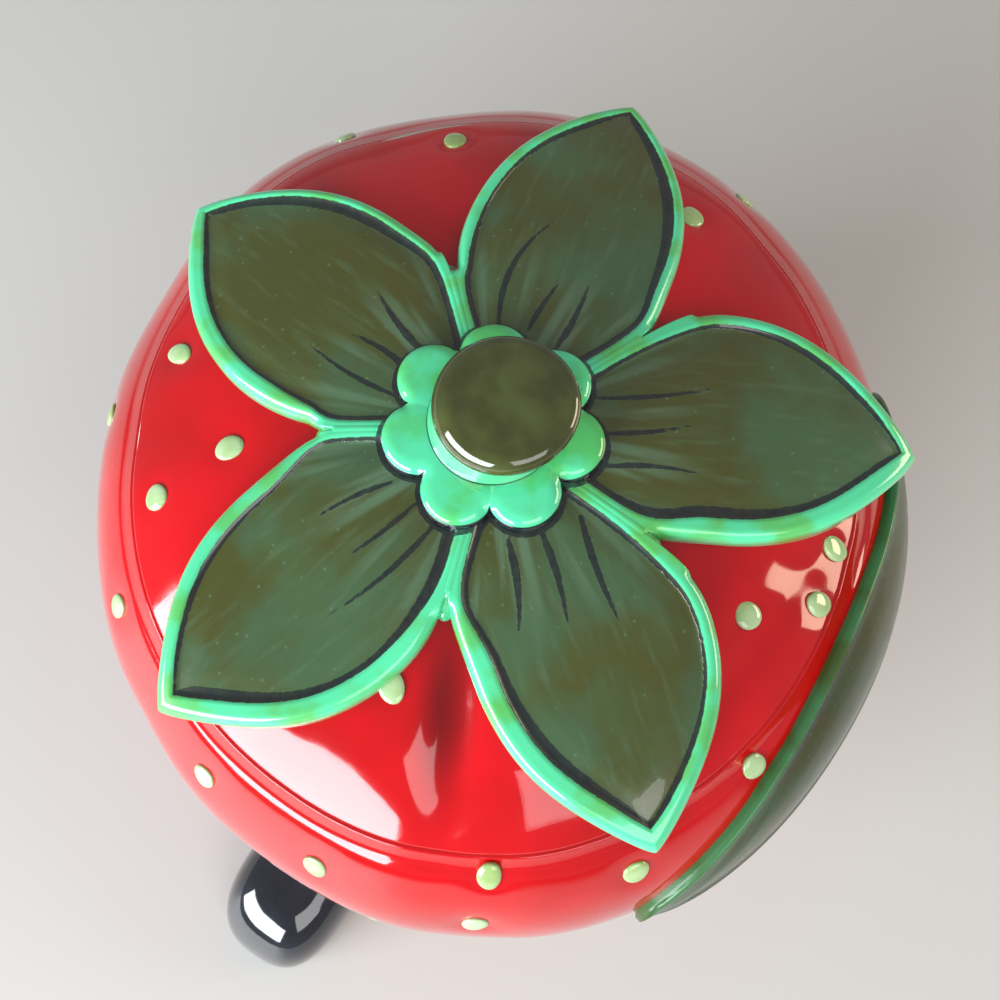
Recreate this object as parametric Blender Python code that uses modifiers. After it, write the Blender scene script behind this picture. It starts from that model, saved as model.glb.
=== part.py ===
"""A glazed ceramic jar shaped like a strawberry, with a lift-off lid.

The origin is the centre of the flat base, +Z is the jar's axis and the front is -Y.
The berry is a turned body, widest at its girth. The lid is the berry's top, and carries
five relief leaves, a scalloped collar and a stem-shaped knob. A long relief leaf lies
along one side of the body, a pair of round feet stands at the base, and raised seeds
are set around the whole berry.
"""

from math import cos, hypot, pi, radians, sin, tan

import bmesh
import bpy
from mathutils import Matrix, Vector

# Berry: the outline that the body and the lid share, all in metres.
GIRTH_RADIUS = 0.100
GIRTH_HEIGHT = 0.100
OVAL = 0.94  # the berry's width along X, as a share of its depth along Y
CROWN_RISE = 0.060  # from the girth up to the top of the dome
CROWN_POWER = 2.7  # above 2, so the shoulders are broad
BASE_RADIUS = 0.058
TAPER_POWER = 2.4
WALL = 0.0055
FLOOR = 0.007
GAP = 0.0003  # between pieces that touch

# Mouth and lid seat.
SEAT_HEIGHT = 0.144
MOUTH_RADIUS = 0.073
MOUTH_DEPTH = 0.007
FLANGE_CLEARANCE = 0.0015
FLANGE_WALL = 0.0055
FLANGE_DROP = 0.008
RIM_INSET = 0.0008  # how far the two rims at the seam are drawn in
RIM_ROUNDING = 0.002
BASE_CHAMFER = 0.003
BASE_CHAMFER_RISE = 0.0012
COVE = 0.006  # chamfer between the inner wall and the floor
NECK_RISE = 0.017  # from the top of the inner wall up to the seat

# Foot of the stem, where the leaves meet, a little off the berry's axis.
STEM_X = 0.0007
STEM_Y = -0.0019

# Lid leaves: azimuth in degrees, length from the stem, width to the left and to the right.
LEAVES = (
    (67.0, 0.0855, 0.0228, 0.0210),
    (138.0, 0.0850, 0.0245, 0.0233),
    (217.5, 0.0825, 0.0245, 0.0220),
    (289.5, 0.0835, 0.0260, 0.0205),
    (356.5, 0.0855, 0.0280, 0.0190),
)
LEAF_START = 0.008
LEAF_TIP_HEIGHT = 0.149  # underside of the raised tip
LEAF_THICKNESS = 0.0035
LEAF_GAP = 0.0005
LEAF_LEAN = 0.86  # below 1, so a blade is widest a little inside its middle
LEAF_FULLNESS = 0.62
LEAF_POINT = 0.0004  # half width of the blunt tip
LIFT_START = 0.050
LIFT_POWER = 1.8

# Collar and knob.
COLLAR_LOBES = 7
COLLAR_RADIUS = 0.0190
COLLAR_LOBE = 0.0028
COLLAR_SCALLOP = 0.6  # below 1, so the lobes are round and the notches sharp
COLLAR_TURN = 9.2
COLLAR_THICKNESS = 0.0028
KNOB_HEIGHT = 0.0125
KNOB_BASE_RADIUS = 0.0125
KNOB_WAIST_RADIUS = 0.0112
KNOB_TOP_RADIUS = 0.0132
KNOB_LEAN = 0.0034
KNOB_EDGE = 0.0022
KNOB_CROWN = 0.0006
KNOB_WAIST_FROM = 0.0026
KNOB_WAIST_TO = 0.0048
KNOB_FLARE_TO = 0.0068

# Relief leaf along the side, by azimuth in degrees.
SIDE_LEAF_FROM = -73.0
SIDE_LEAF_TO = 12.0
SIDE_LEAF_MIDDLE = 0.115
SIDE_LEAF_HALF_WIDTH = 0.0270
SIDE_LEAF_THICKNESS = 0.0024
SIDE_LEAF_FULLNESS = 0.55
SIDE_LEAF_POINT = 0.0006

# Feet.
FOOT_AZIMUTHS = {"foot_front": 236.0, "foot_back": 56.0}
FOOT_HEEL = 0.048
FOOT_TOE = 0.143
FOOT_HALF_WIDTH = 0.0185
FOOT_FLATTENING = 0.85
FOOT_HEEL_SHARE = 0.88  # width of the heel, as a share of the toe's
SOLE_CUT = 0.011  # how far below the middle of the foot the sole is cut flat

# Seeds: (azimuth in degrees, height above the base) for those on the lid and on the body.
SEED_LENGTH = 0.0064
SEED_WIDTH = 0.0052
SEED_HEIGHT = 0.0010
LID_SEEDS = (
    (95, 0.148), (46, 0.150), (162, 0.148), (187, 0.148), (181, 0.1545), (247, 0.155),
    (324, 0.152), (342, 0.146), (333, 0.146),
)
SHOULDER_SEEDS = (
    (199, 0.136), (225, 0.134), (244, 0.133), (266, 0.127), (268, 0.141), (288, 0.136),
    (309, 0.1405), (44, 0.134), (72, 0.138), (113, 0.136), (140, 0.134), (170, 0.130),
)
LOWER_ROWS = ((0.108, 9, 212.0), (0.080, 9, 192.0), (0.052, 7, 214.0))
SIDE_LEAF_CLEARANCE = 6.0  # degrees kept free of seeds beyond the side leaf's ends
SIDE_LEAF_MARGIN = 0.006  # and above and below its edges
FOOT_CLEARANCE = 22.0  # degrees kept free of seeds on each side of a foot, low down

TURN_STEPS = 48

CERAMIC_RED = (0.60, 0.004, 0.012)
LEAF_GREEN = (0.050, 0.075, 0.030)
MINT_GREEN = (0.16, 0.52, 0.20)
KNOB_OLIVE = (0.060, 0.068, 0.012)
SEED_GREEN = (0.45, 0.60, 0.22)
GLOSS_BLACK = (0.006, 0.007, 0.010)


def clear_scene():
    for obj in list(bpy.data.objects):
        bpy.data.objects.remove(obj, do_unlink=True)


def make_collection(name):
    collection = bpy.data.collections.new(name)
    bpy.context.scene.collection.children.link(collection)
    return collection


def glaze(name, colour, roughness=0.12):
    material = bpy.data.materials.new(name)
    material.use_nodes = True
    shader = material.node_tree.nodes["Principled BSDF"]
    shader.inputs["Base Color"].default_value = (*colour, 1.0)
    shader.inputs["Roughness"].default_value = roughness
    shader.inputs["Metallic"].default_value = 0.0
    return material


def add_object(name, mesh, collection, material=None):
    obj = bpy.data.objects.new(name, mesh)
    collection.objects.link(obj)
    if material:
        mesh.materials.append(material)
    return obj


def shade_round(mesh, angle=35.0):
    mesh.shade_smooth()
    mesh.set_sharp_from_angle(angle=radians(angle))


def berry_radius(height):
    """Outer radius of the berry at a height above the base."""
    rise = height - GIRTH_HEIGHT
    if rise >= 0:
        part = min(rise / CROWN_RISE, 1.0)
        return GIRTH_RADIUS * (1 - part**CROWN_POWER) ** (1 / CROWN_POWER)
    part = min(-rise / GIRTH_HEIGHT, 1.0)
    return GIRTH_RADIUS - (GIRTH_RADIUS - BASE_RADIUS) * part**TAPER_POWER


def plan_radius(x, y):
    """Where a point in plan falls on the berry's outline, before it is made oval."""
    return hypot(x / OVAL, y)


def dome_height(radius):
    """Height of the berry's crown at a radius of its outline."""
    part = min(radius / GIRTH_RADIUS, 1.0)
    return GIRTH_HEIGHT + CROWN_RISE * (1 - part**CROWN_POWER) ** (1 / CROWN_POWER)


def surface_frame(azimuth, height):
    """Point on the berry, its outward normal and the direction up the wall."""
    step = 0.0005
    angle = radians(azimuth)
    slope = (berry_radius(height + step) - berry_radius(height - step)) / (2 * step)
    outward = Vector((OVAL * cos(angle), sin(angle), 0.0))
    around = Vector((-OVAL * sin(angle), cos(angle), 0.0)).normalized()
    up = (Vector((0, 0, 1)) + outward * slope).normalized()
    normal = around.cross(up).normalized()
    point = outward * berry_radius(height) + Vector((0, 0, height))
    return point, normal, around


def spaced(start, end, count):
    return [start + (end - start) * i / (count - 1) for i in range(count)]


def profile_object(name, profile, collection, material=None, steps=TURN_STEPS):
    """Turn a profile of (radius, height) points, top to bottom on its outer side, about Z."""
    mesh = bpy.data.meshes.new(name)
    points = [(radius, 0.0, height) for radius, height in profile]
    closed = profile[0][0] > 0
    edges = [(i, i + 1) for i in range(len(points) - 1)]
    if closed:
        edges.append((len(points) - 1, 0))
    mesh.from_pydata(points, edges, [])
    obj = add_object(name, mesh, collection, material)
    screw = obj.modifiers.new("turn", "SCREW")
    screw.axis = "Z"
    screw.steps = steps
    screw.render_steps = steps
    screw.use_merge_vertices = True
    screw.merge_threshold = 0.00001
    screw.use_smooth_shade = True
    return obj


def oval_object(name, profile, collection, material=None):
    """A turned piece drawn in along X to the berry's oval."""
    obj = profile_object(name, profile, collection, material)
    obj.scale.x = OVAL
    return obj


def evaluated_mesh(obj):
    """A new mesh holding the object's shape with its modifiers applied."""
    bpy.context.view_layer.update()
    graph = bpy.context.evaluated_depsgraph_get()
    return bpy.data.meshes.new_from_object(obj.evaluated_get(graph))


def cut(obj, cutter):
    boolean = obj.modifiers.new("cut", "BOOLEAN")
    boolean.operation = "DIFFERENCE"
    boolean.solver = "EXACT"
    boolean.object = cutter


def make_body(collection, material):
    seat = SEAT_HEIGHT - GAP / 2
    rim_outer = berry_radius(seat) - RIM_INSET
    outer = [(berry_radius(h), h) for h in spaced(seat - RIM_ROUNDING, BASE_CHAMFER, 16)]
    base_edge = [(BASE_RADIUS, BASE_CHAMFER_RISE), (BASE_RADIUS - BASE_CHAMFER, 0.0)]
    inner = [(berry_radius(h) - WALL, h) for h in spaced(FLOOR + COVE, SEAT_HEIGHT - NECK_RISE, 10)]
    floor_edge = [(berry_radius(FLOOR) - WALL - COVE, FLOOR)]
    mouth = [(MOUTH_RADIUS, seat - MOUTH_DEPTH), (MOUTH_RADIUS, seat)]
    profile = [(0.0, FLOOR), *floor_edge, *inner, *mouth, (rim_outer, seat), *outer, *base_edge, (0.0, 0.0)]
    return oval_object("jar_body", profile, collection, material)


def make_lid(collection, material):
    seat = SEAT_HEIGHT + GAP / 2
    rim = berry_radius(seat)
    flange_outer = MOUTH_RADIUS - FLANGE_CLEARANCE
    flange_inner = flange_outer - FLANGE_WALL
    foot = seat - FLANGE_DROP
    top = [(rim * sin(a), dome_height(rim * sin(a))) for a in spaced(0.0, pi / 2, 15)]
    top[-1] = (rim - RIM_INSET / 2, seat + RIM_ROUNDING / 2)
    seat_face = [(rim - RIM_INSET, seat), (flange_outer, seat)]
    flange = [(flange_outer, foot), (flange_inner, foot)]
    under_radii = [flange_inner * sin(a) for a in spaced(pi / 2, 0.0, 10)]
    under = [(radius, dome_height(radius) - WALL) for radius in under_radii]
    profile = [*top, *seat_face, *flange, *under]
    return oval_object("lid_dome", profile, collection, material)


def half_turn(index, neighbour):
    """Half the turn between two lid leaves that lie side by side."""
    turn = abs(LEAVES[neighbour % len(LEAVES)][0] - LEAVES[index][0])
    return radians(min(turn, 360 - turn)) / 2


def leaf_edge(along, length, width, wedge_angle):
    """How far a lid leaf's edge lies from its middle line: a wedge near the stem, then a blade."""
    wedge = along * tan(wedge_angle) - LEAF_GAP
    part = (along - LEAF_START) / (length - LEAF_START)
    blade = width * max(sin(pi * max(part**LEAF_LEAN, 0.5)), 0.0) ** LEAF_FULLNESS
    return max(min(wedge, blade), LEAF_POINT)


def leaf_underside(x, y, length, tip_dome):
    """Height of a leaf's underside: on the dome, then lifting towards its tip."""
    far = max(hypot(x - STEM_X, y - STEM_Y) - LIFT_START, 0.0) / (length - LIFT_START)
    lift = LEAF_TIP_HEIGHT - tip_dome
    return dome_height(plan_radius(x, y)) + LEAF_GAP + lift * far**LIFT_POWER


def grid_piece(name, rows, thickness, collection, material):
    """A sheet through rows of points, thickened outwards along its normals."""
    across = len(rows[0])
    mesh = bpy.data.meshes.new(name)
    points = [point for row in rows for point in row]
    faces = []
    for i in range(len(rows) - 1):
        for j in range(across - 1):
            corner = i * across + j
            faces.append((corner, corner + across, corner + across + 1, corner + 1))
    mesh.from_pydata(points, [], faces)
    obj = add_object(name, mesh, collection, material)
    solidify = obj.modifiers.new("thickness", "SOLIDIFY")
    solidify.thickness = thickness
    solidify.offset = 1.0
    shade_round(mesh)
    return obj


def make_lid_leaf(index, collection, material):
    azimuth, length, left, right = LEAVES[index]
    turn = radians(azimuth)
    tip = plan_radius(STEM_X + length * cos(turn), STEM_Y + length * sin(turn))
    rows = []
    for along in spaced(LEAF_START, length, 13):
        left_edge = leaf_edge(along, length, left, half_turn(index, index + 1))
        right_edge = leaf_edge(along, length, right, half_turn(index, index - 1))
        row = []
        for side in spaced(-1.0, 1.0, 7):
            across = side * (left_edge if side > 0 else right_edge)
            x = STEM_X + along * cos(turn) - across * sin(turn)
            y = STEM_Y + along * sin(turn) + across * cos(turn)
            row.append((x, y, leaf_underside(x, y, length, dome_height(tip))))
        rows.append(row)
    return grid_piece(f"lid_leaf_{index + 1}", rows, LEAF_THICKNESS, collection, material)


def make_side_leaf(collection, material):
    """The long leaf follows the wall just below the lid, pointed at both ends."""
    rows = []
    for part in spaced(0.0, 1.0, 21):
        azimuth = SIDE_LEAF_FROM + (SIDE_LEAF_TO - SIDE_LEAF_FROM) * part
        width = max(SIDE_LEAF_HALF_WIDTH * max(sin(pi * part), 0.0) ** SIDE_LEAF_FULLNESS, SIDE_LEAF_POINT)
        row = []
        for side in spaced(-1.0, 1.0, 7):
            point, normal, _ = surface_frame(azimuth, SIDE_LEAF_MIDDLE + side * width)
            row.append(point + normal * LEAF_GAP)
        rows.append(row)
    return grid_piece("side_leaf", rows, SIDE_LEAF_THICKNESS, collection, material)


def make_collar(collection, material):
    """A flat disc whose edge swells into round lobes, over the leaves' inner ends."""
    outline = bpy.data.curves.new("collar", "CURVE")
    outline.dimensions = "2D"
    outline.fill_mode = "BOTH"
    outline.extrude = COLLAR_THICKNESS / 2
    count = COLLAR_LOBES * 10
    spline = outline.splines.new("POLY")
    spline.points.add(count - 1)
    for i, point in enumerate(spline.points):
        angle = 2 * pi * i / count
        swell = 2 * abs(sin(COLLAR_LOBES * angle / 2)) ** COLLAR_SCALLOP - 1
        radius = COLLAR_RADIUS + COLLAR_LOBE * swell
        point.co = (radius * cos(angle), radius * sin(angle), 0.0, 1.0)
    spline.use_cyclic_u = True
    obj = bpy.data.objects.new("collar", outline)
    collection.objects.link(obj)
    outline.materials.append(material)
    obj.location = (STEM_X, STEM_Y, collar_base() + COLLAR_THICKNESS / 2)
    obj.rotation_euler.z = radians(COLLAR_TURN)
    return obj


def collar_base():
    return dome_height(LEAF_START) + LEAF_GAP + LEAF_THICKNESS + GAP


def make_knob(collection, material):
    """A short stem with a waist and a wide rounded end, leaning to one side."""
    base = collar_base() + COLLAR_THICKNESS + GAP
    top = base + KNOB_HEIGHT
    inner = KNOB_TOP_RADIUS - KNOB_EDGE
    edge_middle = top - KNOB_CROWN - KNOB_EDGE
    rounding = [
        (inner + KNOB_EDGE * sin(a), edge_middle + KNOB_EDGE * cos(a))
        for a in spaced(0.0, pi / 2, 4)
    ]
    stem = [
        (KNOB_TOP_RADIUS, base + KNOB_FLARE_TO),
        (KNOB_WAIST_RADIUS, base + KNOB_WAIST_TO),
        (KNOB_WAIST_RADIUS, base + KNOB_WAIST_FROM),
        (KNOB_BASE_RADIUS, base),
    ]
    profile = [(0.0, top), (inner / 2, top - KNOB_CROWN / 4), *rounding, *stem, (0.0, base)]
    turned = profile_object("knob_turned", profile, collection, material, steps=32)
    mesh = evaluated_mesh(turned)
    bpy.data.objects.remove(turned, do_unlink=True)
    lean = Matrix.Identity(4)
    lean[0][2] = KNOB_LEAN / KNOB_HEIGHT
    lean[0][3] = STEM_X - base * KNOB_LEAN / KNOB_HEIGHT
    lean[1][3] = STEM_Y
    mesh.transform(lean)
    shade_round(mesh)
    return add_object("knob", mesh, collection)


def make_foot(name, azimuth, cutter, collection, material):
    """A low round-toed foot, soled flat, whose heel is cut to the body's wall."""
    shape = bmesh.new()
    bmesh.ops.create_uvsphere(shape, u_segments=24, v_segments=16, radius=FOOT_HALF_WIDTH)
    bmesh.ops.rotate(shape, matrix=Matrix.Rotation(pi / 2, 3, "Y"), verts=shape.verts)
    toe_centre = FOOT_TOE - FOOT_HALF_WIDTH
    for vertex in shape.verts:
        heel = vertex.co.x < -0.0001
        share = FOOT_HEEL_SHARE if heel else 1.0
        start = FOOT_HEEL + FOOT_HALF_WIDTH if heel else toe_centre
        vertex.co = Vector((start + vertex.co.x, vertex.co.y * share, vertex.co.z * share * FOOT_FLATTENING))
    geometry = shape.verts[:] + shape.edges[:] + shape.faces[:]
    bmesh.ops.bisect_plane(
        shape, geom=geometry, plane_co=(0, 0, -SOLE_CUT), plane_no=(0, 0, -1), clear_outer=True
    )
    bmesh.ops.holes_fill(shape, edges=shape.edges, sides=0)
    bmesh.ops.translate(shape, vec=(0, 0, SOLE_CUT), verts=shape.verts)
    bmesh.ops.rotate(shape, matrix=Matrix.Rotation(radians(azimuth), 3, "Z"), verts=shape.verts)
    mesh = bpy.data.meshes.new(name)
    shape.to_mesh(mesh)
    shape.free()
    shade_round(mesh)
    obj = add_object(name, mesh, collection, material)
    cut(obj, cutter)
    return obj


def make_wall_cutter(collection):
    """The berry's outline grown by the gap, to shape what stands against the wall."""
    heights = spaced(SEAT_HEIGHT, 0.0, 30)
    side = [(berry_radius(h) + GAP, h) for h in heights]
    profile = [(0.0, SEAT_HEIGHT), *side, (BASE_RADIUS + GAP, -0.01), (0.0, -0.01)]
    cutter = oval_object("wall_cutter", profile, collection)
    cutter.hide_render = True
    cutter.display_type = "WIRE"
    return cutter


def make_seed_mesh():
    """A low oval cap, flat underneath and a little narrower across than it is long."""
    cap = bmesh.new()
    bmesh.ops.create_uvsphere(cap, u_segments=10, v_segments=8, radius=1.0)
    geometry = cap.verts[:] + cap.edges[:] + cap.faces[:]
    bmesh.ops.bisect_plane(cap, geom=geometry, plane_co=(0, 0, 0), plane_no=(0, 0, -1), clear_outer=True)
    bmesh.ops.holes_fill(cap, edges=cap.edges, sides=0)
    bmesh.ops.scale(cap, vec=(SEED_WIDTH / 2, SEED_LENGTH / 2, SEED_HEIGHT), verts=cap.verts)
    mesh = bpy.data.meshes.new("seed")
    cap.to_mesh(mesh)
    cap.free()
    shade_round(mesh)
    return mesh


def lower_seeds():
    """Staggered rows below the girth, clear of the side leaf and of the feet."""
    places = []
    for height, count, first in LOWER_ROWS:
        for i in range(count):
            azimuth = (first + i * 360 / count) % 360
            signed = (azimuth + 180) % 360 - 180
            under_leaf = SIDE_LEAF_FROM - SIDE_LEAF_CLEARANCE < signed < SIDE_LEAF_TO + SIDE_LEAF_CLEARANCE
            on_leaf = under_leaf and abs(height - SIDE_LEAF_MIDDLE) < SIDE_LEAF_HALF_WIDTH + SIDE_LEAF_MARGIN
            spreads = [abs((azimuth - foot + 180) % 360 - 180) for foot in FOOT_AZIMUTHS.values()]
            on_foot = min(spreads) < FOOT_CLEARANCE and height < 2 * FOOT_HALF_WIDTH
            if not (on_leaf or on_foot):
                places.append((azimuth, height))
    return places


def make_seeds(collection, material):
    mesh = make_seed_mesh()
    mesh.materials.append(material)
    for index, (azimuth, height) in enumerate([*LID_SEEDS, *SHOULDER_SEEDS, *lower_seeds()]):
        point, normal, around = surface_frame(azimuth, height)
        turn = Matrix((around, normal.cross(around), normal)).transposed().to_4x4()
        obj = bpy.data.objects.new(f"seed_{index + 1:02d}", mesh)
        obj.matrix_world = Matrix.Translation(point + normal * (GAP + 0.0001)) @ turn
        collection.objects.link(obj)


def build():
    clear_scene()
    pieces = make_collection("strawberry_jar")
    cutters = make_collection("cutters")
    cutters.hide_render = True
    red = glaze("red_glaze", CERAMIC_RED)
    green = glaze("leaf_glaze", LEAF_GREEN)
    mint = glaze("mint_glaze", MINT_GREEN)
    black = glaze("black_glaze", GLOSS_BLACK, 0.06)
    make_body(pieces, red)
    make_lid(pieces, red)
    for index in range(len(LEAVES)):
        make_lid_leaf(index, pieces, green)
    make_side_leaf(pieces, green)
    make_collar(pieces, mint)
    make_knob(pieces, glaze("knob_glaze", KNOB_OLIVE))
    cutter = make_wall_cutter(cutters)
    for name, azimuth in FOOT_AZIMUTHS.items():
        make_foot(name, azimuth, cutter, pieces, black)
    make_seeds(pieces, glaze("seed_glaze", SEED_GREEN))


build()
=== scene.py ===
"""A glazed ceramic jar shaped like a strawberry, finished for display.

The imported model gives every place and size. Here each of its pieces gets a smooth cast
surface, with the small unevenness of hand work, and a painted glaze. Lengths are in
metres and angles in degrees unless a name says otherwise.
"""

import logging
from dataclasses import dataclass, field, replace
from enum import Enum
from math import cos, pi, radians, sin, tan

import bpy
import numpy as np
from mathutils import Matrix, Vector


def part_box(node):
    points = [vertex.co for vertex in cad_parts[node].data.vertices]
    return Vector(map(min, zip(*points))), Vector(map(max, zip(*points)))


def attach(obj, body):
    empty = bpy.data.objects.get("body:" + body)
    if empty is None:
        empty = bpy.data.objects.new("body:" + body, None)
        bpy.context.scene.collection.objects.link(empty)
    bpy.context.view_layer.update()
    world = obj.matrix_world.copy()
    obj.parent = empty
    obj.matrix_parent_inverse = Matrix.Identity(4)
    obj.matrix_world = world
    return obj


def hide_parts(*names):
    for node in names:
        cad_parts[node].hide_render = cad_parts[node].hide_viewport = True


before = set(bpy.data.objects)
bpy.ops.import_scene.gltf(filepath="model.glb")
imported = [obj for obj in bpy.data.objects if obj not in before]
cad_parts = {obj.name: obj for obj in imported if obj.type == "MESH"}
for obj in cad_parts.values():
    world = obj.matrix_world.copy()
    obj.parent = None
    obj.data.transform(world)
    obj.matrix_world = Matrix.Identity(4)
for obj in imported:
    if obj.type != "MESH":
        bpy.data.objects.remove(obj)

Array = np.ndarray
Colour = tuple[float, float, float]
Socket = bpy.types.NodeSocket
Value = Socket | Colour | float

MM = 0.001
ROOT = "root"
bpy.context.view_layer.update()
# Ink is dark above 0 and bare below it.
NO_INK = -9.0
# The leaves, collar and knob share an axis that stands a little off the berry's.
STEM = np.array([0.7 * MM, -1.9 * MM, 0.0])
# The lid's rim and the body's lip stand this far above and below the seam's middle.
HALF_SEAM = 0.15 * MM
log = logging.getLogger("strawberry_jar")


# ---------------------------------------------------------------- numbers on arrays


def smooth_step(low: float | Array, high: float | Array, value: Array) -> Array:
    """0 below low, 1 above high and 3t^2 - 2t^3 between them."""
    t = np.clip((value - low) / (high - low), 0.0, 1.0)
    return t * t * (3.0 - 2.0 * t)


def bell(distance: Array, width: float) -> Array:
    """exp(-(distance / width)^2): 1 at the middle, fading to nothing past two widths."""
    return np.exp(-((distance / width) ** 2))


def distance_to_line(x: Array, y: Array, line: Array, closed: bool = False) -> Array:
    """Distance from each point in a plane to a line of straight steps.

    Args:
        x, y: the points' coordinates, of one shape.
        line: the line's corners, one row each.
        closed: whether the last corner joins the first.

    Returns:
        The distance to the nearest step, in the shape of x.
    """
    starts = line if closed else line[:-1]
    ends = np.roll(line, -1, axis=0) if closed else line[1:]
    best = np.full(x.shape, np.inf)
    for (ax, ay), (bx, by) in zip(starts, ends):
        dx, dy = bx - ax, by - ay
        length = dx * dx + dy * dy
        t = np.clip(((x - ax) * dx + (y - ay) * dy) / max(length, 1e-18), 0.0, 1.0)
        best = np.minimum(best, np.hypot(x - ax - t * dx, y - ay - t * dy))
    return best


# ---------------------------------------------------------------- meshes


class Slot(str, Enum):
    """The record's material slots, one for each finish."""

    RED = "red_glaze"
    LEAF = "leaf_glaze"
    MINT = "mint_glaze"
    KNOB = "knob_glaze"
    SEED = "seed_glaze"
    BLACK = "black_glaze"


@dataclass
class Skin:
    """A closed surface: rings of points one after another, drawn to a point at both ends."""

    name: str
    rings: Array
    attributes: dict[str, Array] = field(default_factory=dict)

    def _points(self, values: Array) -> Array:
        """One row per vertex: the first pole, every ring between, and the last pole.

        Args:
            values: one value or one point for each place, rings first.

        Returns:
            The values in the vertices' order, one row each.
        """
        columns = values.shape[2] if values.ndim == 3 else 1
        flat = values[1:-1].reshape(-1, columns)
        first = values[0].reshape(-1, columns).mean(axis=0, keepdims=True)
        last = values[-1].reshape(-1, columns).mean(axis=0, keepdims=True)
        return np.concatenate([first, flat, last])

    def _faces(self) -> tuple[Array, Array]:
        """Quads between neighbouring rings, and triangles from each pole to its ring.

        Returns:
            Quads and triangles, as rows of vertex numbers.
        """
        rows, columns = self.rings.shape[0] - 2, self.rings.shape[1]
        index = 1 + np.arange(rows * columns).reshape(rows, columns)
        right = np.roll(index, -1, axis=1)
        quads = np.stack([index[:-1], right[:-1], right[1:], index[1:]], axis=-1).reshape(-1, 4)
        last = rows * columns + 1
        top = np.stack([np.zeros(columns, int), right[0], index[0]], axis=-1)
        bottom = np.stack([np.full(columns, last), index[-1], right[-1]], axis=-1)
        return quads, np.concatenate([top, bottom])

    def build(self, material: bpy.types.Material, slot: Slot, *nodes: str) -> bpy.types.Object:
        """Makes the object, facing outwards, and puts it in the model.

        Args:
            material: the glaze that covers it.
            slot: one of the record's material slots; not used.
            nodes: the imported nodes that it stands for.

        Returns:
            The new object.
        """
        points = self._points(self.rings)
        quads, triangles = self._faces()
        halves = np.concatenate([quads[:, [0, 1, 2]], quads[:, [0, 2, 3]], triangles])
        corners = points[halves]
        volume = np.einsum("ij,ij->i", corners[:, 0], np.cross(corners[:, 1], corners[:, 2])).sum()
        if volume < 0:
            quads, triangles = quads[:, ::-1], triangles[:, ::-1]
        mesh = bpy.data.meshes.new(self.name)
        mesh.from_pydata(points.tolist(), [], quads.tolist() + triangles.tolist())
        for label, values in self.attributes.items():
            store = mesh.attributes.new(label, "FLOAT", "POINT")
            store.data.foreach_set("value", self._points(values).astype(np.float32).ravel())
        mesh.shade_smooth()
        mesh.materials.append(material)
        piece = bpy.data.objects.new(self.name, mesh)
        bpy.context.scene.collection.objects.link(piece)
        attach(piece, ROOT)
        if nodes:
            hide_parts(*nodes)
        log.info("%s: %d vertices", self.name, len(points))
        return piece


# ---------------------------------------------------------------- glazes


class Attribute(str, Enum):
    """Values that a surface carries for its glaze to read."""

    RIM = "rim_mm"
    INK = "ink_mm"
    # How deep a fold is, from 0 to 1: the red glaze darkens there as painted shade with pooled glaze.
    FOLD_SHADE = "hollow"
    LINING = "lining"
    ALONG = "along_mm"
    ACROSS = "across_mm"


class Sum(str, Enum):
    """What a Math node does with its two values."""

    TIMES = "MULTIPLY"
    PLUS = "ADD"
    MINUS = "SUBTRACT"
    OVER = "DIVIDE"


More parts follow.
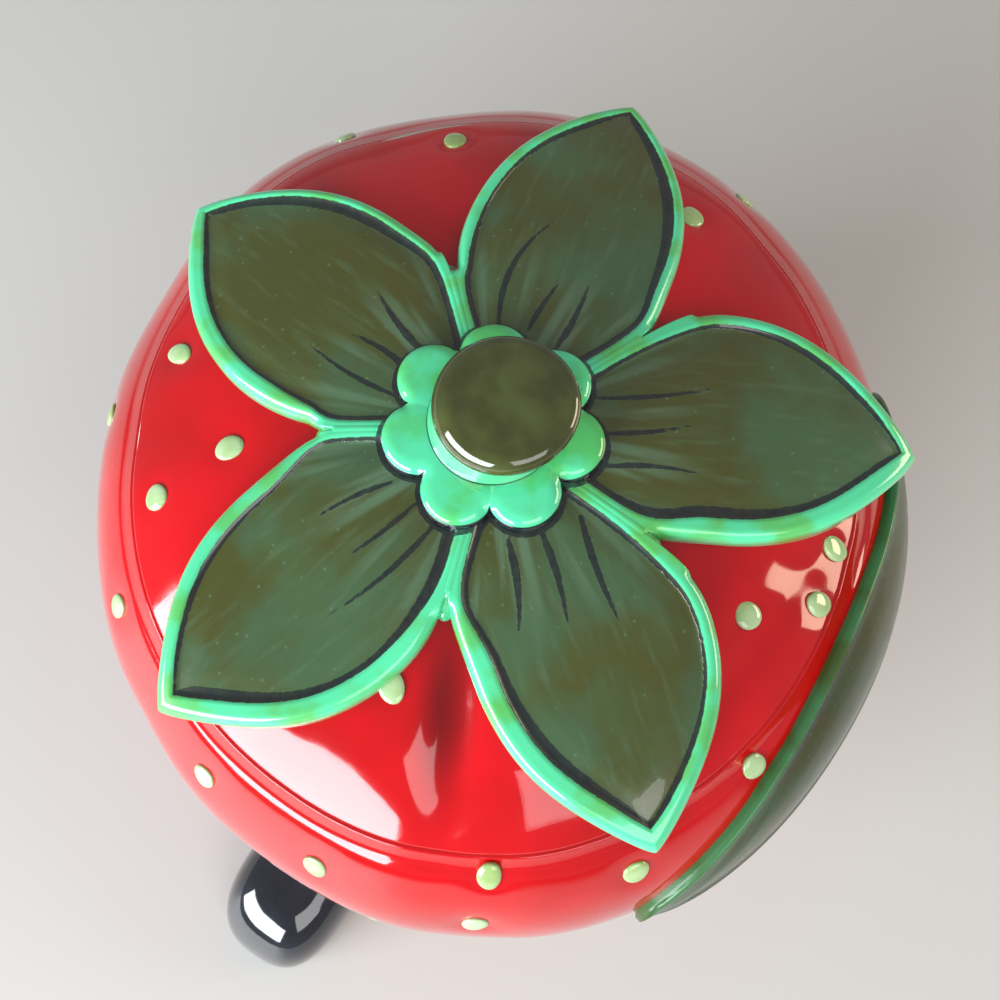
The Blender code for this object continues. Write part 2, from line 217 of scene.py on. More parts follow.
class Graph:
    """A short way to write a material's nodes."""

    def __init__(self, name: str) -> None:
        """Starts a material that holds one Principled shader.

        Args:
            name: the material's name.
        """
        self.material = bpy.data.materials.new(name)
        self.material.use_nodes = True
        self.tree = self.material.node_tree
        self.shader = self.tree.nodes["Principled BSDF"]
        self.place = self.tree.nodes.new("ShaderNodeTexCoord").outputs["Object"]

    def join(self, source: Value, target: Socket) -> None:
        """Links a socket, or sets a plain value, on the target socket.

        Args:
            source: a socket, a colour, a vector or a number.
            target: the input that it goes to.
        """
        if isinstance(source, Socket):
            self.tree.links.new(source, target)
        elif isinstance(source, tuple):
            target.default_value = (*source, 1.0) if target.type == "RGBA" else source
        else:
            target.default_value = source

    def math(self, operation: Sum, first: Value, second: Value = 0.0) -> Socket:
        """A Math node on one or two values.

        Args:
            operation: what to do with them.
            first: the first value.
            second: the second value.

        Returns:
            The result.
        """
        node = self.tree.nodes.new("ShaderNodeMath")
        node.operation = operation.value
        self.join(first, node.inputs[0])
        self.join(second, node.inputs[1])
        return node.outputs[0]

    def attribute(self, name: Attribute) -> Socket:
        """A value that the surface carries.

        Args:
            name: which value.

        Returns:
            Its socket.
        """
        node = self.tree.nodes.new("ShaderNodeAttribute")
        node.attribute_name = name.value
        return node.outputs["Fac"]

    def noise(self, size: float, detail: float = 2.0, vector: Value | None = None) -> Socket:
        """Cloudy noise whose patches are about as wide as size, from 0 to 1.

        Args:
            size: a patch's width, in the units of the vector.
            detail: how many finer layers lie over it.
            vector: where it is read: the object's own coordinates if None.

        Returns:
            The noise.
        """
        node = self.tree.nodes.new("ShaderNodeTexNoise")
        node.inputs["Scale"].default_value = 1.0 / size
        node.inputs["Detail"].default_value = detail
        self.join(self.place if vector is None else vector, node.inputs["Vector"])
        return node.outputs["Fac"]

    def specks(self, spacing: float, size: float) -> Socket:
        """1 in small round specks, scattered about one spacing apart, and 0 between them.

        Args:
            spacing: from one speck to the next.
            size: a speck's radius.

        Returns:
            The specks.
        """
        node = self.tree.nodes.new("ShaderNodeTexVoronoi")
        node.inputs["Scale"].default_value = 1.0 / spacing
        self.join(self.place, node.inputs["Vector"])
        return self.ramp(node.outputs["Distance"], size / spacing, 0.4 * size / spacing)

    def ramp(self, value: Value, low: float, high: float) -> Socket:
        """0 at low, 1 at high and smooth between them. High may be the lesser.

        Args:
            value: what is read.
            low: the value that gives 0.
            high: the value that gives 1.

        Returns:
            The result.
        """
        node = self.tree.nodes.new("ShaderNodeMapRange")
        node.interpolation_type = "SMOOTHSTEP"
        ends = (low, high, 0.0, 1.0) if low < high else (high, low, 1.0, 0.0)
        self.join(value, node.inputs["Value"])
        for label, end in zip(("From Min", "From Max", "To Min", "To Max"), ends):
            node.inputs[label].default_value = end
        return node.outputs["Result"]

    def spread(self, value: Value, low: float, high: float) -> Socket:
        """A value from 0 to 1 carried in a straight line to the span from low to high.

        Args:
            value: what is read.
            low: what 0 becomes.
            high: what 1 becomes.

        Returns:
            The result.
        """
        node = self.tree.nodes.new("ShaderNodeMapRange")
        self.join(value, node.inputs["Value"])
        node.inputs["To Min"].default_value = low
        node.inputs["To Max"].default_value = high
        return node.outputs["Result"]

    def mix(self, share: Value, first: Value, second: Value) -> Socket:
        """The first colour where share is 0 and the second where it is 1.

        Args:
            share: from 0 to 1.
            first: a colour.
            second: a colour.

        Returns:
            The mixed colour.
        """
        node = self.tree.nodes.new("ShaderNodeMix")
        node.data_type = "RGBA"
        self.join(share, node.inputs["Factor"])
        self.join(first, node.inputs["A"])
        self.join(second, node.inputs["B"])
        return node.outputs["Result"]

    def vector(self, x: Value, y: Value, z: Value = 0.0) -> Socket:
        """A vector from three values.

        Args:
            x, y, z: its three parts.

        Returns:
            The vector.
        """
        node = self.tree.nodes.new("ShaderNodeCombineXYZ")
        for source, target in zip((x, y, z), node.inputs):
            self.join(source, target)
        return node.outputs[0]

    def relief(self, height: Value, depth: float, below: Value | None = None) -> Socket:
        """A bump of that depth where height runs from 0 to 1.

        Args:
            height: from 0 to 1.
            depth: the bump's depth in metres.
            below: the relief that this one lies over.

        Returns:
            The surface's new normal.
        """
        node = self.tree.nodes.new("ShaderNodeBump")
        node.inputs["Strength"].default_value = 1.0
        node.inputs["Distance"].default_value = depth
        self.join(height, node.inputs["Height"])
        if below is not None:
            self.join(below, node.inputs["Normal"])
        return node.outputs["Normal"]

    def finish(self, colour: Value, roughness: Value, normal: Value) -> bpy.types.Material:
        """Joins colour, roughness and relief to the shader and gives back the material.

        Args:
            colour, roughness, normal: what the shader gets.

        Returns:
            The material.
        """
        self.join(colour, self.shader.inputs["Base Color"])
        self.join(roughness, self.shader.inputs["Roughness"])
        self.join(normal, self.shader.inputs["Normal"])
        return self.material


@dataclass(frozen=True)
class Gloss:
    """How much clear layer lies over a glaze, how smooth it is, and the glaze's own IOR."""

    weight: float = 0.6
    roughness: float = 0.03
    ior: float = 1.5

    def lay(self, graph: Graph) -> None:
        """Sets the clear layer and the IOR on the graph's shader.

        Args:
            graph: the glaze's graph.
        """
        graph.shader.inputs["Coat Weight"].default_value = self.weight
        graph.shader.inputs["Coat Roughness"].default_value = self.roughness
        graph.shader.inputs["IOR"].default_value = self.ior


@dataclass(frozen=True)
class BerryGlaze:
    """Red glaze: darker in the deep folds, as painted shade with pooled glaze, and cream inside and
    underneath.
    """

    # The red of the deep folds: painted shade with pooled glaze.
    shaded_pool_red: Colour = (0.14, 0.0006, 0.001)
    full: Colour = (0.42, 0.0010, 0.0025)
    bright: Colour = (0.58, 0.0018, 0.006)
    cream: Colour = (0.78, 0.70, 0.58)
    speck: Colour = (0.16, 0.002, 0.004)
    gloss: Gloss = Gloss(0.45, 0.02, 1.42)

    def build(self) -> bpy.types.Material:
        """Clouds of red, streaks, specks, painted shade with pooled glaze in the deep folds, and cream
        where it is lined.

        Returns:
            The material.
        """
        graph = Graph("berry_glaze")
        self.gloss.lay(graph)
        cloud = graph.ramp(graph.noise(0.045, 3.0), 0.35, 0.68)
        streak = graph.ramp(graph.noise(0.009, 2.0), 0.55, 0.8)
        red = graph.mix(cloud, self.full, self.bright)
        red = graph.mix(graph.math(Sum.TIMES, streak, 0.25), red, self.full)
        # Deep folds turn to the darker red: painted shade with pooled glaze.
        hollow = graph.ramp(graph.attribute(Attribute.FOLD_SHADE), 0.15, 1.0)
        red = graph.mix(graph.math(Sum.TIMES, hollow, 0.8), red, self.shaded_pool_red)
        red = graph.mix(graph.math(Sum.TIMES, graph.specks(0.019, 0.0005), 0.7), red, self.speck)
        lining = graph.ramp(graph.attribute(Attribute.LINING), 0.3, 0.7)
        colour = graph.mix(lining, red, self.cream)
        uneven = graph.spread(graph.noise(0.012, 3.0), 0.05, 0.13)
        roughness = graph.math(Sum.PLUS, uneven, graph.math(Sum.TIMES, lining, 0.25))
        waves = graph.relief(graph.noise(0.014, 1.0), 0.00022)
        peel = graph.relief(graph.noise(0.0022, 1.5), 0.000012, waves)
        return graph.finish(colour, roughness, peel)


@dataclass(frozen=True)
class LeafGlaze:
    """A painted leaf: olive face, dark brushed lines and a raised mint edge."""

    name: str = "leaf_glaze"
    face: Colour = (0.046, 0.100, 0.040)
    shade: Colour = (0.054, 0.060, 0.006)
    light: Colour = (0.100, 0.190, 0.110)
    edge: Colour = (0.080, 0.63, 0.31)
    edge_pool: Colour = (0.095, 0.40, 0.045)
    ink: Colour = (0.003, 0.005, 0.012)
    gloss: Gloss = Gloss(0.7, 0.03)

    def build(self) -> bpy.types.Material:
        """A brushed face inside a mint edge, with ink over both.

        Returns:
            The material.
        """
        graph = Graph(self.name)
        self.gloss.lay(graph)
        along = graph.math(Sum.TIMES, graph.attribute(Attribute.ALONG), 0.18)
        strokes = graph.vector(along, graph.attribute(Attribute.ACROSS))
        brushed = graph.noise(2.2, 3.0, strokes)
        cloud = graph.noise(0.022, 3.0)
        face = graph.mix(graph.ramp(cloud, 0.38, 0.66), self.shade, self.face)
        face = graph.mix(graph.math(Sum.TIMES, graph.ramp(brushed, 0.5, 0.85), 0.35), face, self.light)
        fan = graph.math(Sum.OVER, graph.attribute(Attribute.ACROSS), graph.attribute(Attribute.ALONG))
        rays = graph.vector(graph.math(Sum.TIMES, fan, 7.0), graph.math(Sum.TIMES, along, 0.12))
        pleats = graph.ramp(graph.noise(1.0, 2.0, rays), 0.46, 0.66)
        near = graph.ramp(graph.attribute(Attribute.ALONG), 46.0, 22.0)
        fading = graph.math(Sum.TIMES, pleats, near)
        face = graph.mix(graph.math(Sum.TIMES, fading, 0.75), face, self.light)
        face = graph.mix(graph.math(Sum.TIMES, graph.specks(0.0034, 0.00045), 0.45), face, self.light)
        pooled = graph.ramp(graph.noise(0.010, 2.0), 0.42, 0.66)
        edge = graph.mix(graph.math(Sum.TIMES, pooled, 0.75), self.edge, self.edge_pool)
        wander = graph.math(Sum.TIMES, graph.math(Sum.MINUS, graph.noise(0.004, 2.0), 0.5), 0.55)
        rim = graph.math(Sum.PLUS, graph.attribute(Attribute.RIM), wander)
        colour = graph.mix(graph.ramp(rim, -0.12, 0.12), edge, face)
        rough_edge = graph.math(Sum.TIMES, graph.math(Sum.MINUS, graph.noise(0.0011, 2.0), 0.5), 0.45)
        inked = graph.math(Sum.PLUS, graph.attribute(Attribute.INK), rough_edge)
        ink = graph.ramp(inked, -0.06, 0.16)
        thin = graph.spread(graph.noise(0.0022, 3.0), 0.62, 1.05)
        colour = graph.mix(graph.math(Sum.TIMES, ink, thin), colour, self.ink)
        roughness = graph.spread(graph.noise(0.005, 3.0), 0.16, 0.34)
        waves = graph.relief(graph.noise(0.010, 1.0), 0.00016)
        grain = graph.relief(graph.noise(0.0009, 2.0), 0.000016, waves)
        painted = graph.relief(ink, 0.00005, grain)
        return graph.finish(colour, roughness, painted)


@dataclass(frozen=True)
class PlainGlaze:
    """A one-colour glaze with pooling and thin places, a speck here and there, and fine peel."""

    name: str
    thin: Colour
    pooled: Colour
    speck: Colour
    patch: float = 0.009
    speck_share: float = 0.5
    gloss: Gloss = Gloss()

    def build(self) -> bpy.types.Material:
        """Thin and pooled patches, specks, and a line of speck colour where there is ink.

        Returns:
            The material.
        """
        graph = Graph(self.name)
        self.gloss.lay(graph)
        pool = graph.ramp(graph.noise(self.patch, 3.0), 0.36, 0.68)
        colour = graph.mix(pool, self.thin, self.pooled)
        colour = graph.mix(
            graph.math(Sum.TIMES, graph.specks(0.006, 0.0004), self.speck_share), colour, self.speck
        )
        ink = graph.ramp(graph.attribute(Attribute.INK), -0.05, 0.15)
        colour = graph.mix(ink, colour, self.speck)
        roughness = graph.spread(graph.noise(0.004, 3.0), 0.05, 0.13)
        waves = graph.relief(graph.noise(0.008, 1.0), 0.00012)
        peel = graph.relief(graph.noise(0.0014, 1.5), 0.000012, waves)
        return graph.finish(colour, roughness, peel)


@dataclass(frozen=True)
class KnobGlaze:
    """Olive over the top, thinning to mint down the waist."""

    olive: Colour = (0.034, 0.038, 0.004)
    olive_light: Colour = (0.062, 0.076, 0.014)
    mint: Colour = (0.085, 0.50, 0.24)
    line: Colour = (0.008, 0.012, 0.012)
    gloss: Gloss = Gloss(0.8, 0.025)

    def build(self) -> bpy.types.Material:
        """Olive and mint with an uneven border, and a dark line round the foot.

        Returns:
            The material.
        """
        graph = Graph("knob_glaze")
        self.gloss.lay(graph)
        olive = graph.mix(graph.ramp(graph.noise(0.009, 3.0), 0.35, 0.7), self.olive, self.olive_light)
        wander = graph.math(Sum.TIMES, graph.math(Sum.MINUS, graph.noise(0.003, 2.0), 0.5), 1.6)
        rim = graph.math(Sum.PLUS, graph.attribute(Attribute.RIM), wander)
        colour = graph.mix(graph.ramp(rim, -1.6, 1.6), self.mint, olive)
        ink = graph.ramp(graph.attribute(Attribute.INK), -0.05, 0.15)
        colour = graph.mix(ink, colour, self.line)
        roughness = graph.spread(graph.noise(0.004, 3.0), 0.06, 0.15)
        waves = graph.relief(graph.noise(0.007, 1.0), 0.00015)
        return graph.finish(colour, roughness, graph.relief(graph.noise(0.001, 2.0), 0.00001, waves))


# ---------------------------------------------------------------- the berry's outline


@dataclass(frozen=True)
class Dent:
    """A soft hollow, or with a negative depth a swelling, in the berry's wall."""

    azimuth: float
    height: float
    depth: float
    around: float
    along: float
    turn: float = 0.0


@dataclass(frozen=True)
class Berry:
    """The outline that the body and the lid share, an oval in plan."""

    oval: float
    girth: float = 0.100
    girth_height: float = 0.100
    crown: float = 0.060
    crown_power: float = 2.7
    base: float = 0.058
    taper_power: float = 2.4
    dents: tuple[Dent, ...] = ()

    def radius(self, height: Array) -> Array:
        """Superellipse above the girth, and girth less a power of the drop below it.

        Args:
            height: above the base.

        Returns:
            The radius at each height, before the outline is made oval.
        """
        rise = np.clip((height - self.girth_height) / self.crown, 0.0, 1.0)
        above = self.girth * (1.0 - rise**self.crown_power) ** (1.0 / self.crown_power)
        drop = np.clip((self.girth_height - height) / self.girth_height, 0.0, 1.0)
        return above - (self.girth - self.base) * drop**self.taper_power

    def dome(self, radius: Array) -> Array:
        """Height of the crown's superellipse at a radius of the outline.

        Args:
            radius: of the outline before it is made oval.

        Returns:
            The height at each radius.
        """
        part = np.clip(radius / self.girth, 0.0, 1.0)
        curve = (1.0 - part**self.crown_power) ** (1.0 / self.crown_power)
        return self.girth_height + self.crown * curve

    def plan_radius(self, x: Array, y: Array) -> Array:
        """Where points in plan fall on the outline before it is made oval."""
        return np.hypot(x / self.oval, y)

    def around(self, radius: Array, height: Array, angles: Array) -> Array:
        """Rings of the oval: (oval r cos a, r sin a, height) for each radius and angle.

        Args:
            radius: one radius for each ring.
            height: one height for each ring.
            angles: the angles round each ring, in radians.

        Returns:
            Points as rings, angles, xyz.
        """
        x = self.oval * radius[:, None] * np.cos(angles)
        y = radius[:, None] * np.sin(angles)
        z = np.repeat(height[:, None], len(angles), axis=1)
        return np.stack([x, y, z], axis=-1)

    def point(self, azimuth: float, height: float) -> tuple[Array, Array, Array, Array]:
        """A point of the smooth outline with its normal and its two directions.

        Args:
            azimuth: degrees round the outline before it is made oval.
            height: above the base.

        Returns:
            The point, the outward normal, the direction round and the direction up the wall.
        """
        angle = radians(azimuth)
        step = 0.2 * MM
        ends = self.radius(np.array([height - step, height + step]))
        slope = (ends[1] - ends[0]) / (2.0 * step)
        outward = np.array([self.oval * cos(angle), sin(angle), 0.0])
        round_it = np.array([-self.oval * sin(angle), cos(angle), 0.0])
        round_it /= np.linalg.norm(round_it)
        up = outward * slope + np.array([0.0, 0.0, 1.0])
        up /= np.linalg.norm(up)
        place = outward * self.radius(np.array([height]))[0] + np.array([0.0, 0.0, height])
        return place, np.cross(round_it, up), round_it, up

    def normals(self, points: Array) -> Array:
        """Outward unit normals of the outline, each level's own, at places on or near it.

        Above the girth it is the gradient of (r / girth)^n + (rise / crown)^n, and below
        it the wall's slope tips the level direction down.

        Args:
            points: places near the smooth outline, xyz last.

        Returns:
            One unit vector for each place.
        """
        radius = np.maximum(self.plan_radius(points[..., 0], points[..., 1]), 1e-9)
        x, y = points[..., 0] / self.oval**2 / radius, points[..., 1] / radius
        rise = np.clip((points[..., 2] - self.girth_height) / self.crown, 0.0, 1.0)
        drop = np.clip((self.girth_height - points[..., 2]) / self.girth_height, 0.0, 1.0)
        power = self.crown_power - 1.0
        outward = np.where(rise > 0.0, np.clip(radius / self.girth, 0.0, 1.0) ** power / self.girth, 1.0)
        taper = (self.girth - self.base) * self.taper_power * drop ** (self.taper_power - 1.0)
        up = np.where(rise > 0.0, rise**power / self.crown, -taper / self.girth_height)
        normal = np.stack([x * outward, y * outward, up], axis=-1)
        return normal / np.linalg.norm(normal, axis=-1, keepdims=True)

    def unevenness(self, points: Array) -> tuple[Array, Array]:
        """How far the hand-worked wall stands off the smooth outline.

        Slow waves round the wall, plus each dent as a bell of the distances round and
        along the wall from its middle.

        Args:
            points: places on the smooth outline, xyz last.

        Returns:
            The offset along the normal in metres, and the hollow left, from 0 to 1.
        """
        angle = np.arctan2(points[..., 1], points[..., 0] / self.oval)
        level = (points[..., 2] - self.girth_height) / self.girth
        belly = bell(level - 0.1, 0.75)
        waves = 0.55 * np.cos(5 * angle + 0.9 + 1.2 * level) + 0.35 * np.cos(3 * angle - 0.7)
        waves += 0.25 * np.cos(8 * angle + 2.1 - 2.0 * level)
        offset = MM * belly * waves
        hollow = np.zeros(angle.shape)
        for dent in self.dents:
            centre, _, round_it, up = self.point(dent.azimuth, dent.height)
            away = points - centre
            swing = radians(dent.turn)
            level_way = away @ (round_it * cos(swing) + up * sin(swing))
            rising_way = away @ (up * cos(swing) - round_it * sin(swing))
            near = bell(level_way, dent.around) * bell(rising_way, dent.along)
            reach = max(dent.around, dent.along)
            near = near * (np.linalg.norm(away, axis=-1) < 3.5 * reach)
            offset = offset - dent.depth * near
            # How deep each fold is, for the painted shade with pooled glaze in the red glaze.
            hollow = np.maximum(hollow, near * np.clip((dent.depth - 0.8 * MM) / (2.0 * MM), 0.0, 1.0))
        return offset, hollow


# ---------------------------------------------------------------- body and lid


@dataclass
class Seeds:
    """The raised oval seeds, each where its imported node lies."""

    berry: Berry
    length: float = 6.3 * MM
    width: float = 5.1 * MM
    height: float = 0.70 * MM
    sunk: float = 0.25 * MM
    dimple_depth: float = 0.65 * MM
    dimple_width: float = 4.4 * MM
    rows: int = 10
    columns: int = 24
    seed: int = 11

    def places(self) -> list[tuple[str, float, float]]:
        """Each seed's node, azimuth and height, from the middle of its packed box.

        Returns:
            Each seed's node, its azimuth and its height.
        """
        found = []
        for node in sorted(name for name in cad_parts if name.startswith("seed_")):
            low, high = (np.array(corner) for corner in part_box(node))
            x, y, z = (low + high) / 2.0
            azimuth = float(np.degrees(np.arctan2(y, x / self.berry.oval)))
            found.append((node, azimuth, float(z)))
        return found

    def dimples(self) -> tuple[Dent, ...]:
        """A shallow round hollow in the wall under each seed.

        Returns:
            One dent for each seed.
        """
        return tuple(
            Dent(azimuth, height, self.dimple_depth, self.dimple_width, self.dimple_width)
            for _, azimuth, height in self.places()
        )

    def build(self, wall: Berry, material: bpy.types.Material) -> None:
        """Makes every seed: an oval cap, (a r cos t, b r sin t, h (1 - r^2)^0.5) on the wall.

        Args:
            wall: the outline with its dents, for the wall's real level.
            material: the seeds' glaze.
        """
        random = np.random.default_rng(self.seed)
        t = np.linspace(0.0, 2.0 * pi, self.columns, endpoint=False)
        r = np.sin(np.linspace(0.0, pi / 2.0, self.rows))
        r = np.concatenate([r, [1.0, 0.0]])
        level = np.concatenate([np.sqrt(np.clip(1.0 - r[:-2] ** 2.4, 0.0, 1.0)), [-0.8, -0.8]])
        for node, azimuth, height in self.places():
            centre, normal, round_it, up = self.berry.point(azimuth, height)
            offset, _ = wall.unevenness(centre[None, :])
            swing = random.normal(0.0, 0.30)
            stretch = 1.0 + random.uniform(-0.10, 0.10)
            a = 0.5 * self.width * (2.0 - stretch)
            b = 0.5 * self.length * stretch
            x = a * r[:, None] * np.cos(t)
            y = b * r[:, None] * np.sin(t) * (1.0 + 0.10 * np.cos(t))
            u = x * cos(swing) - y * sin(swing)
            v = x * sin(swing) + y * cos(swing)
            lifted = offset[0] + self.height * level[:, None] - self.sunk
            rings = centre + u[..., None] * round_it + v[..., None] * up
            rings = rings + np.broadcast_to(lifted, u.shape)[..., None] * normal
            ink = np.broadcast_to((r - 1.12)[:, None] * 2.0, u.shape)
            skin = Skin(f"glazed_{node}", rings, {Attribute.INK.value: ink})
            skin.build(material, Slot.SEED, node)


@dataclass
class JarBody:
    """The hollow berry below the lid, with its mouth, seat, floor and flat base."""

    berry: Berry
    seat: float
    mouth: float = 73.0 * MM
    mouth_depth: float = 7.0 * MM
    wall: float = 5.5 * MM
    floor: float = 7.0 * MM
    cove: float = 8.0 * MM
    foot_round: float = 5.0 * MM
    lip: float = 0.7 * MM
    columns: int = 384
    outer_rows: int = 104

    def profile(self) -> tuple[Array, Array, Array]:
        """Radius, height and kind of each ring, from the inner floor's middle round to the base's.

        Returns:
            Radii, heights, and the share of cream lining, 0 on the red outside.
        """
        berry, floor = self.berry, self.floor
        bend = np.linspace(0.0, pi / 2.0, 7)
        inner_h = np.linspace(floor + self.cove, self.seat - 16.0 * MM, 26)
        inner_r = berry.radius(inner_h) - self.wall
        cove_r = inner_r[0] - self.cove * (1.0 - np.sin(bend[:-1]))
        cove_h = floor + self.cove * (1.0 - np.cos(bend[:-1]))
        neck_h = np.array([self.seat - self.mouth_depth, self.seat - 0.8 * MM])
        edge_r = berry.radius(np.array([self.seat]))[0]
        lip_r = edge_r - self.lip * (1.0 - np.sin(bend))
        lip_h = self.seat - self.lip * (1.0 - np.cos(bend))
        outer_h = np.linspace(self.seat - self.lip, self.foot_round, self.outer_rows)[1:]
        outer_r = berry.radius(outer_h)
        foot_r = berry.base - 4.0 * MM * (1.0 - np.cos(bend[1:]))
        foot_h = self.foot_round * (1.0 - np.sin(bend[1:]))
        radius = np.concatenate([
            [0.0, 0.4 * inner_r[0]], cove_r, inner_r, [self.mouth, self.mouth, self.mouth + 0.8 * MM],
            lip_r, outer_r, foot_r, [berry.base - 9.0 * MM, berry.base - 10.5 * MM, 0.0],
        ])
        height = np.concatenate([
            [floor, floor], cove_h, inner_h, neck_h, [self.seat], lip_h, outer_h, foot_h,
            [0.0, 0.6 * MM, 0.6 * MM],
        ])
        inside = 2 + len(cove_r) + len(inner_r) + 3
        lining = np.zeros(len(radius))
        lining[:inside] = 1.0
        lining[-5:] = 1.0
        return radius, height, lining

    def build(self, material: bpy.types.Material) -> None:
        """Turns the profile round the oval and lets the outside be uneven.

        Args:
            material: the red glaze.
        """
        radius, height, lining = self.profile()
        angles = np.linspace(0.0, 2.0 * pi, self.columns, endpoint=False)
        rings = self.berry.around(radius, height, angles)
        offset, hollow = self.berry.unevenness(rings)
        outer = np.zeros(len(radius))
        outer[int(np.argmax(lining < 0.5)):] = 1.0
        settle = outer * smooth_step(0.0, 14.0 * MM, height)
        rings = rings + (settle[:, None] * offset)[..., None] * self.berry.normals(rings)
        lined = np.broadcast_to(lining[:, None], hollow.shape)
        # The folds' depth carries the painted shade into the red glaze.
        attributes = {Attribute.FOLD_SHADE.value: hollow * outer[:, None], Attribute.LINING.value: lined}
        Skin("glazed_body", rings, attributes).build(material, Slot.RED, "jar_body")


@dataclass
class LidDome:
    """The lid: the berry's crown, a rounded rim, a flange and a hollow underside."""

    berry: Berry
    seat: float
    flange: float = 71.5 * MM
    flange_wall: float = 5.5 * MM
    flange_drop: float = 8.0 * MM
    chamfer: float = 1.2 * MM
    wall: float = 5.5 * MM
    lip: float = 0.7 * MM
    columns: int = 384
    outer_rows: int = 84

    def profile(self) -> tuple[Array, Array, Array]:
        """Radius, height and lining of each ring, from the apex out and back underneath.

        Returns:
            Radii, heights, and the share of cream lining, 0 on the red outside.
        """
        berry = self.berry
        edge_r = berry.radius(np.array([self.seat + self.lip]))[0]
        outer_r = edge_r * np.sin(np.linspace(0.0, pi / 2.0, self.outer_rows)) ** 0.9
        outer_h = berry.dome(outer_r)
        bend = np.linspace(0.0, pi / 2.0, 7)[1:]
        lip_r = edge_r + 0.25 * MM - self.lip * (1.0 - np.cos(bend))
        lip_h = self.seat + self.lip * (1.0 - np.sin(bend))
        foot = self.seat - self.flange_drop
        inner = self.flange - self.flange_wall
        under_r = inner * np.cos(np.linspace(0.0, pi / 2.0, 22))
        under_h = berry.dome(under_r) - self.wall
        flange_r = [
            self.flange + 1.0 * MM, self.flange, self.flange,
            self.flange - self.chamfer, inner + self.chamfer, inner,
        ]
        flange_h = [
            self.seat, self.seat - 1.0 * MM, foot + self.chamfer, foot, foot, foot + self.chamfer,
        ]
        radius = np.concatenate([outer_r, lip_r, flange_r, under_r])
        height = np.concatenate([outer_h, lip_h, flange_h, under_h])
        lining = np.ones(len(radius))
        lining[: len(outer_r) + len(lip_r) - 1] = 0.0
        return radius, height, lining

    def build(self, material: bpy.types.Material) -> None:
        """Turns the profile round the oval and lets the outside be uneven.

        Args:
            material: the red glaze.
        """
        radius, height, lining = self.profile()
        angles = np.linspace(0.0, 2.0 * pi, self.columns, endpoint=False)
        rings = self.berry.around(radius, height, angles)
        offset, hollow = self.berry.unevenness(rings)
        outer = 1.0 - lining
        rings = rings + (outer[:, None] * offset)[..., None] * self.berry.normals(rings)
        lined = np.broadcast_to(lining[:, None], hollow.shape)
        # The folds' depth carries the painted shade into the red glaze.
        attributes = {Attribute.FOLD_SHADE.value: hollow * outer[:, None], Attribute.LINING.value: lined}
        Skin("glazed_lid", rings, attributes).build(material, Slot.RED, "lid_dome")


# ---------------------------------------------------------------- collar and knob


@dataclass(frozen=True)
class Collar:
    """The scalloped collar over the leaves' inner ends: a cushion with round lobes."""

    low: Array
    high: Array
    lobes: int = 7
    first_notch: float = 9.2
    lobe: float = 2.8 * MM
    roll: float = 3.4 * MM
    sunk: float = 2.2 * MM
    line: float = 0.95
    rows: int = 40
    columns: int = 280

    def edge(self, angles: Array) -> Array:
        """Radius of the edge: a circle with n lobes, each swelled by 2 |sin(n a / 2)|^0.62 - 1.

        Args:
            angles: round the stem, in radians.

        Returns:
            The radius at each angle.
        """
        mean = 0.5 * (self.high[0] - self.low[0]) - self.lobe + 0.3 * MM
        turned = angles - radians(self.first_notch)
        swell = 2.0 * np.abs(np.sin(self.lobes * turned / 2.0)) ** 0.62 - 1.0
        drift = 0.35 * MM * np.cos(2.0 * angles + 0.6) + 0.3 * MM * np.cos(3.0 * angles - 1.0)
        return mean + self.lobe * swell + drift

    def outline(self) -> Array:
        """The edge in plan, as a closed line.

        Returns:
            The line's corners, one row each.
        """
        angles = np.linspace(0.0, 2.0 * pi, 140, endpoint=False)
        edge = self.edge(angles)
        return np.stack([STEM[0] + edge * np.cos(angles), STEM[1] + edge * np.sin(angles)], axis=-1)

    def ink(self, x: Array, y: Array) -> Array:
        """The line brushed round the collar, in mm: its width less the distance from the edge.

        Args:
            x, y: places in plan.

        Returns:
            The ink at each place, above 0 on the line.
        """
        return self.line - distance_to_line(x, y, self.outline(), closed=True) / MM

    def build(self, material: bpy.types.Material) -> None:
        """Rings out from the middle over the cushion and back underneath.

        The top is level, and rolls over as a quarter ellipse within a short way of the
        edge, so the lobes run together in one cushion.

        Args:
            material: the mint glaze.
        """
        angles = np.linspace(0.0, 2.0 * pi, self.columns, endpoint=False)
        thickness = self.high[2] - self.low[2] + 0.4 * MM
        q = np.sin(np.linspace(0.0, pi / 2.0, self.rows)) ** 0.8
        radius = q[:, None] * self.edge(angles)
        outline = self.outline() - STEM[:2]
        inward = distance_to_line(radius * np.cos(angles), radius * np.sin(angles), outline, closed=True)
        part = np.clip(inward / self.roll, 0.0, 1.0)
        top = thickness * np.sqrt(np.clip(1.0 - (1.0 - part) ** 2.2, 0.0, 1.0))
        top = top - 0.5 * MM * (q[:, None] ** 2) * smooth_step(0.0, 1.0, part)
        top[-1] = 0.0
        q = np.concatenate([q, [0.97, 0.0]])
        level = np.concatenate([top, np.full((2, self.columns), -self.sunk)])
        radius = q[:, None] * self.edge(angles)
        rings = STEM + np.stack([
            radius * np.cos(angles), radius * np.sin(angles), self.low[2] - 0.2 * MM + level
        ], axis=-1)
        ink = np.broadcast_to((q[:, None] - 0.975) * 18.0, radius.shape)
        skin = Skin("glazed_collar", rings, {Attribute.INK.value: ink})
        skin.build(material, Slot.MINT, "collar")


